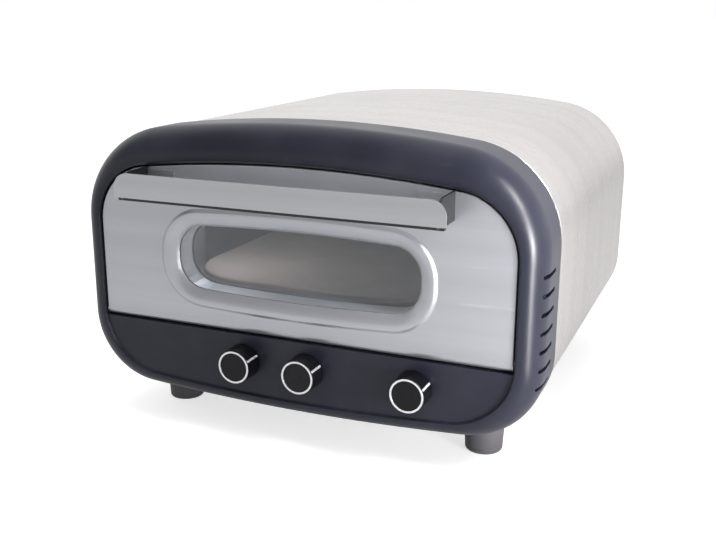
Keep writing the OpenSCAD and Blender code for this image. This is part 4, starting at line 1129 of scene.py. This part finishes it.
# %% [markdown]
# ## Door skin: sheet
# The door is a flat pressed sheet with a rounded rim that is turned back all round, and its lower edge is
# a closed hem that is round about the hinge line, so the door can roll past the sill. The sheet is cut
# from a solid with its back taken out, because that keeps the wall even in the tight corners.

# %% Door skin
DOOR_GAP, DOOR_ROUND, TURN_DEPTH = 1.5 * MM, 1.0 * MM, 14 * MM
HEM_R = 7 * MM
AXIS_Y, AXIS_Z = HEM_R, DOOR_LOW + HEM_R
HEM_RELIEF = 12.3 * MM


def skin_solid():
    half = SKIN_HI.x
    turns = [math.pi / 8 * i for i in range(4, -1, -1)]
    edge = [(DOOR_GAP + DOOR_ROUND * (1 - math.cos(a)), DOOR_ROUND * (1 - math.sin(a))) for a in turns]
    edge.append((DOOR_GAP, TURN_DEPTH))
    skin = loft("door_front_sheet", [ring(above(open_line(inset), AXIS_Z), y) for inset, y in edge])
    hem = side_prism("hem", arc_points(AXIS_Y, AXIS_Z, HEM_R, 180, 360, 36), (-half, half))
    combine(skin, [hem], "UNION")
    inner, behind = half - SHEET, TURN_DEPTH + PAST
    back = prism("back", above(open_line(DOOR_GAP + SHEET), AXIS_Z - 1 * MM), SHEET, behind)
    core = side_prism("core", arc_points(AXIS_Y, AXIS_Z, HEM_R - SHEET, 178, 362, 36), (-inner, inner))
    relief = box_solid("relief", (-inner, HEM_RELIEF, AXIS_Z - HEM_R), (inner, behind, AXIS_Z + 1 * MM))
    window = prism("window", window_line(-0.9 * PRESSED_W), -PAST, SHEET + 2 * PAST)
    combine(skin, [back, core, relief, window])
    surround = loft("surround", [ring(window_line(d), y) for d, y in surround_section()], hoop=True)
    return combine(skin, [surround], "UNION")


hand_over(smooth(skin_solid(), 30), "door", "door_steel", "door_skin")

# %% [markdown]
# ## Pull
# The pull is folded from one strip: a long front plate with rounded upper corners, a lip set back under
# it, two end returns and two tabs that lie on the door. It could be a box with bevels, but then it would
# have no shadow behind the plate. Every cut edge gets a small rounding, because that is what catches
# light.

# %% Pull
PULL_R = 13 * MM
PULL_FOOT_R = 2 * MM
TAB_W, TAB_MARGIN = 30 * MM, 2 * MM
PULL_ROUND = 0.6 * MM
LIP_LEFT, LIP_RIGHT, LIP_REAR = 3 * MM, 2 * MM, 6 * MM
LIP_OVERLAP, LEG_OVERLAP, TAB_OVERLAP = 0.8 * MM, 0.3 * MM, 0.5 * MM


def pull_plate(half, low, top, reach):
    """Front plate with the lip behind its lower edge."""
    corner, foot = top - PULL_R, low + LIP_H + PULL_FOOT_R
    shape = arc_points(half - PULL_R, corner, PULL_R, 0, 90, 20)
    shape += arc_points(PULL_R - half, corner, PULL_R, 90, 180, 20)
    shape += arc_points(PULL_FOOT_R - half, foot, PULL_FOOT_R, 180, 270, 6)
    shape += arc_points(half - PULL_FOOT_R, foot, PULL_FOOT_R, 270, 360, 6)
    plate = prism("pull", shape, -reach, PULL_T - reach)
    lip_lo = (LIP_LEFT - half, LIP_BACK - reach, low)
    lip_hi = (half - LIP_RIGHT, LIP_REAR - reach, low + LIP_H + LIP_OVERLAP)
    return combine(plate, [box_solid("lip", lip_lo, lip_hi)], "UNION")


def pull_solid():
    half, low, top, reach = PULL_HI.x, PULL_LO.z, PULL_HI.z, FACE_Y - PULL_LO.y
    plate = pull_plate(half, low, top, reach)
    profile = [(PULL_T - LEG_OVERLAP - reach, low), (0, low), (0, top), (PULL_R - reach, top)]
    profile += arc_points(PULL_R - reach, top - PULL_R, PULL_R, 90, 170, 18)[1:]
    outer = half - LEG_IN
    for side in (-1, 1):
        leg = side_prism("leg", profile, sorted((side * outer, side * (outer - PULL_T))))
        tab_lo, tab_hi = sorted((side * (outer - TAB_W), side * (outer - TAB_OVERLAP)))
        tab = box_solid("tab", (tab_lo, -PULL_T, low + TAB_MARGIN), (tab_hi, 0, top - TAB_MARGIN))
        combine(plate, [leg, tab], "UNION")
    return bevel(plate, PULL_ROUND, 3, 25)


# The pull's finish paints its folded lip and legs dark, as a painted shadow.
hand_over(smooth(pull_solid(), 40), "door", "handle_steel", "door_handle", finish="pull_steel")

# %% [markdown]
# ## Knobs
# Each knob is turned from one profile with a shallow dished face, fine turned rings, a groove for the
# bright ring and a short skirt. A cylinder with a picture on it would do from afar, but the groove and
# the rings give the true small highlights. The ring and the pointer are a separate trim. The pointer
# starts at the angle that a knob rests at.

# %% Knob shapes
KNOB_LO, KNOB_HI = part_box("timer_knob")
KNOB_R = (KNOB_HI.x - KNOB_LO.x) / 2
KNOB_FACE, KNOB_BASE = KNOB_LO.y - FACE_Y, KNOB_HI.y - FACE_Y
POINTER_ANGLE = math.radians(27)
POINTER_HALF, POINTER_GROOVE_HALF = 1.0 * MM, 1.05 * MM
POINTER_IN, POINTER_OUT = KNOB_R - 1.9 * MM, KNOB_R - 0.15 * MM
POINTER_FRONT, POINTER_REAR = KNOB_FACE + 0.7 * MM, KNOB_BASE - 0.8 * MM
RING_R, RING_W, RING_GAP = KNOB_R - 1.2 * MM, 1.9 * MM, 0.04 * MM
DISH_RINGS, DISH_RISE = 12, 0.06 * MM


def pointer_bar(name, centre, half_height, beyond):
    """Bar along the knob's side at the pointer's angle, from the ring back to the skirt."""
    lo, hi = (POINTER_IN, POINTER_FRONT, -half_height), (POINTER_OUT + beyond, POINTER_REAR, half_height)
    bar = box_solid(name, lo, hi)
    turn = Matrix.Rotation(-POINTER_ANGLE, 4, "Y")
    bar.data.transform(Matrix.Translation((centre[0], 0, centre[1])) @ turn)
    return bar


def knob_body(name, centre):
    f, b, r, mid = KNOB_FACE, KNOB_BASE, KNOB_R, RING_R - RING_W
    profile = [(4 * MM, b), (r - 0.4 * MM, b), (r, b - 0.4 * MM), (r, b - 2.6 * MM)]
    profile += [(r - 0.15 * MM, b - 3 * MM), (r - 0.55 * MM, f + 2.2 * MM), (r - 0.65 * MM, f + 1 * MM)]
    profile += [(r - 0.85 * MM, f + 0.4 * MM), (r - 1.2 * MM, f + 0.05 * MM), (RING_R + 0.05 * MM, f)]
    profile += [(RING_R, f + 0.1 * MM), (RING_R, f + 0.8 * MM), (mid, f + 0.8 * MM), (mid, f + 0.15 * MM)]
    dish, floor = mid - 0.5 * MM, f + 0.6 * MM
    profile += [(mid - 0.15 * MM, f), (dish, f + 0.5 * MM)]
    profile += [(dish * (1 - i / DISH_RINGS), floor + DISH_RISE * (i % 2)) for i in range(1, DISH_RINGS)]
    profile.append((0, floor))
    groove = pointer_bar("groove", centre, POINTER_GROOVE_HALF, 1.2 * MM)
    return smooth(combine(lathe(name, profile, centre), [groove]), 30)


def knob_trim(name, centre):
    f, out, mid = KNOB_FACE, RING_R - RING_GAP, RING_R - RING_W + RING_GAP
    profile = [(mid, f + 0.75 * MM), (mid, f + 0.2 * MM), (mid + 0.2 * MM, f), (out - 0.2 * MM, f)]
    profile += [(out, f + 0.2 * MM), (out, f + 0.75 * MM)]
    bar = bevel(pointer_bar("pointer", centre, POINTER_HALF, -0.05 * MM), 0.12 * MM, 2, 30)
    return smooth(combine(lathe(name, profile, centre, hoop=True), [bar], "UNION"), 30)


for control in ("upper_heat", "lower_heat", "timer"):
    lo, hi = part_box(control + "_knob")
    centre = ((lo.x + hi.x) / 2, (lo.z + hi.z) / 2)
    hand_over(knob_body(control + "_grip", centre), control + "_control", "knob_plastic", control + "_knob")
    hand_over(knob_trim(control + "_ring", centre), control + "_control", "trim_metal", control + "_trim")

# %% [markdown]
# ## Feet
# A foot is a slightly tapered rubber cylinder. Its lower edge is rounded, it has a shallow groove near
# the floor, and its top is cut to the curve of the bezel and the wrap that it stands against. A bevelled
# cylinder has no taper or groove, so the foot is lofted from a list of radii and heights.

# %% Feet
FOOT_PROFILE = [(5, 12), (5, 0.6), (5.6, 0), (14.2, 0), (15.6, 0.3), (16.5, 1.1), (16.95, 2.2), (17.05, 4.2)]
FOOT_PROFILE += [(16.8, 4.6), (16.8, 5.2), (17.1, 5.6), (18, 22), (18.95, 47), (19, 49.5)]
FOOT_STEPS = 72


def upright_ring(x, y, radius, z):
    """Level circle about an upright axis."""
    angles = [math.tau * i / FOOT_STEPS for i in range(FOOT_STEPS)]
    return [Vector((x + radius * math.cos(a), y + radius * math.sin(a), z)) for a in angles]


def foot_piece(node):
    lo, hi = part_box(node)
    x, y = (lo.x + hi.x) / 2, (lo.y + hi.y) / 2
    foot = loft(node + "_rubber", [upright_ring(x, y, radius * MM, z * MM) for radius, z in FOOT_PROFILE])
    hull = prism("hull", body_line(WRAP_OUT), BEZEL_BACK - PAST, WRAP_HI.y - FACE_Y)
    rim = prism("rim", body_line(), 0, BEZEL_BACK)
    return smooth(combine(foot, [hull, rim]), 30)


for node in ("foot_front_left", "foot_front_right", "foot_rear_left", "foot_rear_right"):
    hand_over(foot_piece(node), "housing", "foot_rubber", node)

# %% [markdown]
# ## Baking stone and tray
# The stone is a rounded plate with worn edges. It sits in a shallow tray whose wall ends in a rolled rim.
# Both are the same rounded rectangle seen from above, moved in or out at each level, so one ring
# function serves the two lofts.

# %% Stone and tray
STONE_LO, STONE_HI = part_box("pizza_stone")
TRAY_LO, TRAY_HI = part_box("stone_tray")
STONE_R = 70 * MM
TRAY_R = STONE_R + (TRAY_HI.x - STONE_HI.x)


def plan_ring(lo, hi, radius, inset, z, steps=24):
    """Rounded rectangle in plan, moved in by inset, at level z."""
    cx, cy = hi.x - radius, (hi.y - lo.y) / 2 - radius
    middle = (hi.y + lo.y) / 2
    points = []
    for k, (sx, sy) in enumerate(((1, 1), (-1, 1), (-1, -1), (1, -1))):
        points += arc_points(sx * cx, middle + sy * cy, radius - inset, 90 * k, 90 * k + 90, steps)
    return [Vector((p[0], p[1], z)) for p in points]


def stone_piece():
    z0, z1 = STONE_LO.z, STONE_HI.z
    edge = [(1.6, z0), (0.6, z0 + 0.4 * MM), (0, z0 + 1.6 * MM), (0, z1 - 2.2 * MM), (0.3, z1 - 1.2 * MM)]
    edge += [(0.9, z1 - 0.4 * MM), (1.8, z1 - 0.06 * MM), (3, z1)]
    return loft("baking_stone", [plan_ring(STONE_LO, STONE_HI, STONE_R, d * MM, z) for d, z in edge])


def tray_piece():
    z0, z1 = TRAY_LO.z, TRAY_HI.z
    section = [(2.2, z0), (1.0, z0 + 0.25 * MM), (0.25, z0 + 1.0 * MM), (0.1, z0 + 2.2 * MM)]
    section += [(0.1, z1 - 1.2 * MM), (0, z1 - 0.7 * MM), (0.1, z1 - 0.25 * MM), (0.5, z1)]
    section += [(0.9, z1 - 0.15 * MM), (1.2, z1 - 0.6 * MM), (1.25, z0 + 1.9 * MM), (2.1, z0 + 1.2 * MM)]
    return loft("tray", [plan_ring(TRAY_LO, TRAY_HI, TRAY_R, d * MM, z) for d, z in section])


hand_over(smooth(stone_piece(), 35), "housing", "stone", "pizza_stone")
hand_over(smooth(tray_piece(), 35), "housing", "handle_steel", "stone_tray")

# %% [markdown]
# ## Heating rods
# A rod is one steel tube bent to and fro across the cavity, and its two tails leave through the rear
# wall. Its half circles could be worked out point by point, but the corners of the path are enough,
# because the sweep tree rounds every pair of corners into a half circle.

# %% Heating rods
ROD_R, ROD_PITCH, ROD_RUNS = 3.3 * MM, 44 * MM, 6
ROD_BEND = ROD_PITCH / 2 - 0.01 * MM
ROD_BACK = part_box("oven_liner")[1].y - 14 * MM


def rod_path(node):
    """Corners of the path: the first and the last run reach back through the rear wall."""
    lo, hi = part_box(node)
    half, front, level = ROD_PITCH * (ROD_RUNS - 1) / 2, lo.y + ROD_R, (lo.z + hi.z) / 2
    points = []
    for i in range(ROD_RUNS):
        rear = hi.y if i in (0, ROD_RUNS - 1) else ROD_BACK
        ends = (rear, front) if i % 2 == 0 else (front, rear)
        points += [Vector((i * ROD_PITCH - half, y, level)) for y in ends]
    return points


for node in ("upper_element", "lower_element"):
    sizes = {"Radius": ROD_R, "Bend_radius": ROD_BEND, "Bend_steps": 10, "Sides": 20}
    rod = sweep(node + "_rod", rod_path(node), "rod_steel", **sizes)
    face_outward(rod.data)
    hand_over(smooth(rod, 40), "housing", "rod_steel", node)

# %% [markdown]
# ## Door seal
# The seal is a braided cord that is clipped to the frame round the mouth of the oven, and its ends meet
# in the middle of the lower run. A flat ring would show no braid. So it is swept as a round cord and then
# pressed flat, as the door leaves it, and the weave follows it round the corners.

# %% Door seal
SEAL_LO, SEAL_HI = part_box("door_seal")
SEAL_R = 2.5 * MM
SEAL_INSET = 10 * MM + SEAL_R
SEAL_MIDDLE = (SEAL_LO.y + SEAL_HI.y) / 2
SEAL_JOINT = 0.2 * MM


def seal_path():
    """Middle line of the seal, from the middle of the lower run round to the same place."""
    level = SEAL_LO.z + SEAL_R
    line = above(open_line(SEAL_INSET), level)
    low = [abs(p[1] - level) < 1e-7 for p in line]
    start = next(i for i in range(len(line)) if low[i] and low[i - 1])
    side = 1 if line[start][0] > 0 else -1
    points = [(side * SEAL_JOINT, level)] + line[start:] + line[:start] + [(-side * SEAL_JOINT, level)]
    return [Vector((p[0], SEAL_MIDDLE, p[1])) for p in points]


sizes = {"Radius": SEAL_R, "Bend_radius": 6 * MM, "Bend_steps": 5, "Sides": 16}
seal = sweep("braided_seal", seal_path(), "seal_braid", **sizes)
squash = (SEAL_HI.y - SEAL_LO.y) / (2 * SEAL_R)
for v in seal.data.vertices:
    v.co.y = SEAL_MIDDLE + (v.co.y - SEAL_MIDDLE) * squash
hand_over(smooth(seal, 50), "housing", "seal_braid", "door_seal")

# %% [markdown]
# ## Screws
# Pan head screws with a cross recess hold the rear panel, the inlet, the pull, the shell and the feet.
# Twenty could be modelled one by one. Instead one screw of each size is turned and cut, then the repeat
# tree puts it on every place and turns each by its own angle.

# %% Screw tools
DOME_STEPS = 6
CROSS_LONG, CROSS_THIN, CROSS_FLOOR = 0.55, 0.12, 0.42


def screw(head_r, head_t, shank_r, shank_l, direction):
    """Pan head screw at the origin: the seat of the head is at zero and the head grows along direction."""
    turns = [math.pi / 2 * i / DOME_STEPS for i in range(DOME_STEPS)]
    profile = [(0, -shank_l), (shank_r * 0.5, -shank_l), (shank_r, -shank_l + shank_r * 0.6)]
    profile += [(shank_r, 0), (head_r, 0)]
    profile += [(head_r * math.cos(a), head_t * (0.35 + 0.65 * math.sin(a))) for a in turns]
    profile.append((0, head_t))
    rings = [[Vector((x, y, z)) for x, z in circle_points(0, 0, radius, 24)] for radius, y in profile]
    piece = loft("screw", rings)
    for long, thin in ((CROSS_LONG, CROSS_THIN), (CROSS_THIN, CROSS_LONG)):
        low = (-head_r * long, head_t * CROSS_FLOOR - FACE_Y, -head_r * thin)
        high = (head_r * long, head_t * 1.5 - FACE_Y, head_r * thin)
        combine(piece, [box_solid("recess", low, high)])
    piece.data.transform(Vector((0, 1, 0)).rotation_difference(Vector(direction)).to_matrix().to_4x4())
    return smooth(piece, 35)


def screw_group(name, node, places, size, direction, seed, body="housing"):
    """Screws on all the places as one piece that stands for a node; size is what screw takes."""
    axis = [abs(v) for v in direction]
    group = repeat(name, screw(*size, direction), places, "screw_steel", axis, seed)
    hand_over(smooth(group, 35), body, "screw_steel", node)


def pairs(x, others):
    """Mirrored places: every (y, z) of others, on the left and on the right."""
    return [(side * x, y, z) for side in (-1, 1) for y, z in others]


print("screw tools ready")

# %% [markdown]
# ### Screws of the rear panel and the inlet
# Four screws go through the panel into the stand-offs near its corners, and two smaller ones hold the
# inlet's flange. Their places could be typed in, but they follow from the boxes of what they hold.

# %% Rear screws
REAR_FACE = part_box("rear_panel")[1].y
INLET_LO, INLET_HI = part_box("power_inlet")
STAND_LO, STAND_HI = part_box("rear_standoffs")
SCREWS_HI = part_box("rear_screws")[1]
STAND_R = 5 * MM
PANEL_SCREW = (3.8 * MM, 2.4 * MM, 2 * MM, 9 * MM)
INLET_SCREW = (3 * MM, 1.6 * MM, 1.5 * MM, 6 * MM)
BACKWARDS = (0, 1, 0)

seats = pairs(STAND_HI.x - STAND_R, [(REAR_FACE, z) for z in (STAND_LO.z + STAND_R, STAND_HI.z - STAND_R)])
screw_group("panel_screws", "rear_screws", seats, PANEL_SCREW, BACKWARDS, 3)

inlet_x, inlet_z = (INLET_LO.x + INLET_HI.x) / 2, (INLET_LO.z + INLET_HI.z) / 2
reach, seat_y = SCREWS_HI.x - INLET_SCREW[0] - inlet_x, SCREWS_HI.y - INLET_SCREW[1]
inlet_seats = [(inlet_x + side * reach, seat_y, inlet_z) for side in (-1, 1)]
screw_group("inlet_screws", "rear_screws", inlet_seats, INLET_SCREW, BACKWARDS, 5)
print("rear screws:", len(seats) + len(inlet_seats))

# %% [markdown]
# ### Screws of the pull, the shell and the feet
# The pull's screws sit on its tabs, behind the plate. Those of the shell and the feet are driven from
# below. They could share one head, but a foot carries the weight of the oven, so its screw is larger.

# %% Other screws
GRIP_LO, GRIP_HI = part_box("handle_screws")
BELLY_LO, BELLY_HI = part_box("shell_screws")
SOLE_LO, SOLE_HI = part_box("foot_screws")
HEAD_R, HEAD_T, SHANK_R = 3.4 * MM, 1.8 * MM, 1.6 * MM
GRIP_PITCH, GRIP_SHANK = 12 * MM, GRIP_HI.y - FACE_Y + PULL_T
BELLY_SHANK, BELLY_MIDDLE = 8 * MM, FACE_Y + 250 * MM
SOLE_R, SOLE_SEAT = 4.5 * MM, 12 * MM
SOLE_SCREW = (SOLE_R, 3 * MM, 2.5 * MM, 32 * MM)
FORWARDS, DOWNWARDS = (0, -1, 0), (0, 0, -1)

grip_x, grip_z = GRIP_HI.x - HEAD_R, (GRIP_LO.z + GRIP_HI.z) / 2
grips = [(side * x, FACE_Y - PULL_T, grip_z) for side in (-1, 1) for x in (grip_x, grip_x - GRIP_PITCH)]
pull_size = (HEAD_R, HEAD_T, SHANK_R, GRIP_SHANK)
screw_group("pull_screws", "handle_screws", grips, pull_size, FORWARDS, 8, "door")

belly_z, belly_ys = BELLY_LO.z + HEAD_T, (BELLY_LO.y + HEAD_R, BELLY_MIDDLE, BELLY_HI.y - HEAD_R)
belly = pairs(BELLY_HI.x - HEAD_R, [(y, belly_z) for y in belly_ys])
screw_group("belly_screws", "shell_screws", belly, (HEAD_R, HEAD_T, SHANK_R, BELLY_SHANK), DOWNWARDS, 11)

soles = pairs(SOLE_HI.x - SOLE_R, [(y, SOLE_SEAT) for y in (SOLE_LO.y + SOLE_R, SOLE_HI.y - SOLE_R)])
screw_group("sole_screws", "foot_screws", soles, SOLE_SCREW, DOWNWARDS, 17)
print("other screws:", len(grips) + len(belly) + len(soles))

# %% [markdown]
# ## Construction pieces that stay
# Most inner pieces already have the right shape, so making them again would add nothing. They stay where
# they are and only get a finish: sheet parts are plated, cavity parts take the liner's finish, and each
# other piece takes that of the stuff it is made of.

# %% Finishes for the pieces that stay
KEPT = {
    "plated_steel": ["base_plate", "rear_panel", "rear_standoffs", "control_bracket"]
    + ["hinge_bracket_left", "hinge_bracket_right", "door_stay_left", "door_stay_right"],
    "liner_steel": ["front_frame", "oven_liner", "upper_element_bars", "lower_element_bars"]
    + ["stone_rails", "door_pan", "glass_spacer"],
    "glass": ["outer_glass", "inner_glass"],
    "wool": ["insulation_jacket"],
    "ceramic": ["element_bushes", "terminal_block"],
    "inlet_plastic": ["thermal_cutout", "power_inlet"],
    "brass_parts": ["control_nuts", "inlet_pins", "hinge_bushes"],
    "control_metal": ["upper_thermostat", "lower_thermostat", "timer_unit"]
    + ["upper_heat_shaft", "lower_heat_shaft", "timer_shaft"],
    "screw_steel": ["hinge_pins"],
}
dressed = set()
for finish, nodes in KEPT.items():
    for node in nodes:
        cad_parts[node].material_slots[0].material = FINISHES[finish]
        dressed.add(node)
bare = sorted(name for name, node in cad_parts.items() if name not in dressed and not node.hide_render)
print("dressed", len(dressed), "pieces; still bare:", bare)

# %% [markdown]
# ## World
# A bright room makes brushed metal look like metal. A studio picture of a room could light the scene,
# but a plain white world does it with no picture. It is full for the eye and for reflections, while its
# light on matt surfaces is set lower, so that the lamps can model the shape. For reflections only, the
# part of the room above and in front of the oven is darker. That keeps the top of the dark rim deep.

# %% World
AMBIENT, ROOM, CEILING = 0.75, 1.0, 0.3
BEHIND, AHEAD = 0.3, -0.2
LEVEL, OVERHEAD = 0.0, 0.4


def eye_rays(tree):
    """One for rays from the eye, off a reflection or through glass, and zero for matt surfaces."""
    ray = put(tree, "ShaderNodeLightPath").outputs
    through = maths(tree, "MAXIMUM", ray["Is Glossy Ray"], ray["Is Transmission Ray"])
    return maths(tree, "MAXIMUM", ray["Is Camera Ray"], through)


def room_strength(tree):
    """Strength of the world, from the kind of ray and the way that it goes."""
    way = put(tree, "ShaderNodeTexCoord").outputs["Generated"]
    glossy = put(tree, "ShaderNodeLightPath").outputs["Is Glossy Ray"]
    front = maths(tree, "MULTIPLY", glossy, remap(tree, axis_of(tree, way, "Y"), BEHIND, AHEAD))
    up = remap(tree, axis_of(tree, way, "Z"), LEVEL, OVERHEAD, 0, ROOM - CEILING)
    seen = eye_rays(tree)
    room = maths(tree, "SUBTRACT", ROOM, maths(tree, "MULTIPLY", front, up))
    lit = maths(tree, "MULTIPLY", maths(tree, "SUBTRACT", 1.0, seen), AMBIENT)
    return maths(tree, "ADD", lit, maths(tree, "MULTIPLY", seen, room))


world = bpy.data.worlds.new("studio")
world.use_nodes = True
world.node_tree.nodes.clear()
light = {"Color": (1, 1, 1, 1), "Strength": room_strength(world.node_tree)}
background = put(world.node_tree, "ShaderNodeBackground", light)
put(world.node_tree, "ShaderNodeOutputWorld", {"Surface": background.outputs[0]})
bpy.context.scene.world = world
bpy.context.scene.view_settings.view_transform = "Standard"
print("light on matt surfaces", AMBIENT)

# %% [markdown]
# ## Floor
# The oven stands on plain pale paper that runs into a white background. Paper that is only lit would end
# in a grey horizon, and a shadow catcher would need a compositor. So the paper is lifted to white by a
# little light of its own and still takes a shadow. Reflections see less of that light near the oven and
# none far in front of it, so the lower half of the dark rim doesn't wash out.

# %% Floor
FLOOR_HALF, LIFT, SHINE = 30.0, 0.64, 0.22
NEAR_OVEN, FAR_AHEAD = 0.3, -1.6


def floor_finish():
    """Pale paper that is lifted to white for the eye and for reflections, and still takes a shadow."""
    tree, shader, place = start_finish("floor_paper", Roughness=0.9, Specular_IOR_Level=0.0)
    shader["Emission Color"].default_value = (1, 1, 1, 1)
    cloud = noise(tree, place, 3, detail=2, roughness=0.5)
    colour = blend(tree, cloud, (0.65, 0.65, 0.65), (0.67, 0.67, 0.67))
    dimming = remap(tree, axis_of(tree, place, "Y"), NEAR_OVEN, FAR_AHEAD, LIFT - SHINE, LIFT)
    glossy = put(tree, "ShaderNodeLightPath").outputs["Is Glossy Ray"]
    lift = maths(tree, "SUBTRACT", LIFT, maths(tree, "MULTIPLY", glossy, dimming))
    glow = maths(tree, "MULTIPLY", eye_rays(tree), lift)
    wire(tree, shader, Base_Color=colour, Emission_Strength=glow)


floor_finish()
floor = new_object("floor", bpy.data.meshes.new("floor"))
corners = [(x * FLOOR_HALF, y * FLOOR_HALF, 0) for x, y in ((-1, -1), (1, -1), (1, 1), (-1, 1))]
floor.data.from_pydata(corners, [], [(0, 1, 2, 3)])
floor.data.materials.append(FINISHES["floor_paper"])
print("floor half width", FLOOR_HALF)

# %% [markdown]
# ## Lamps
# Sun and point lamps give hard shadows, so all lamps are soft rectangles. The overhead one draws the
# shadow under the oven. Two strips at the front right draw the highlight along the rim and round its
# upper corner, with a narrow spread that keeps them off the rest. A long strip lights the right side,
# and a small lamp under the roof of the cavity brightens its front. The overhead and the cavity lamps
# don't show in reflections.

# %% Lamps
def lamp(name, place, aim, size, watts, reflected=True, spread=180):
    """Soft rectangular lamp at place, turned to face aim, out of the camera's sight."""
    data = bpy.data.lights.new(name, "AREA")
    data.shape = "RECTANGLE"
    data.size, data.size_y = size
    data.energy, data.spread = watts, math.radians(spread)
    obj = new_object(name, data)
    obj.location = place
    obj.rotation_euler = (Vector(aim) - Vector(place)).to_track_quat("-Z", "Y").to_euler()
    obj.visible_camera = False
    obj.visible_glossy = reflected


lamp("overhead", (-0.1, -0.25, 1.5), aim=(0, 0, 0.2), size=(1.2, 0.9), watts=9, reflected=False)
strip = {"size": (0.09, 0.38), "watts": 0.52, "spread": 43}
lamp("rim_strip", (0.485, -0.335, 0.2), aim=(0.229, -0.18, 0.2), **strip)
strip = {"size": (0.06, 0.24), "watts": 0.15, "spread": 43}
lamp("corner_strip", (0.425, -0.305, 0.454), aim=(0.208, -0.183, 0.262), **strip)
lamp("side_strip", (0.8, 0.3, 0.28), aim=(0.22, 0.3, 0.225), size=(1.5, 0.03), watts=0.25)
fill = {"size": (0.06, 0.06), "watts": 0.055, "reflected": False}
lamp("cavity_fill", (-0.12, -0.1, 0.226), aim=(-0.13, -0.08, 0.1), **fill)
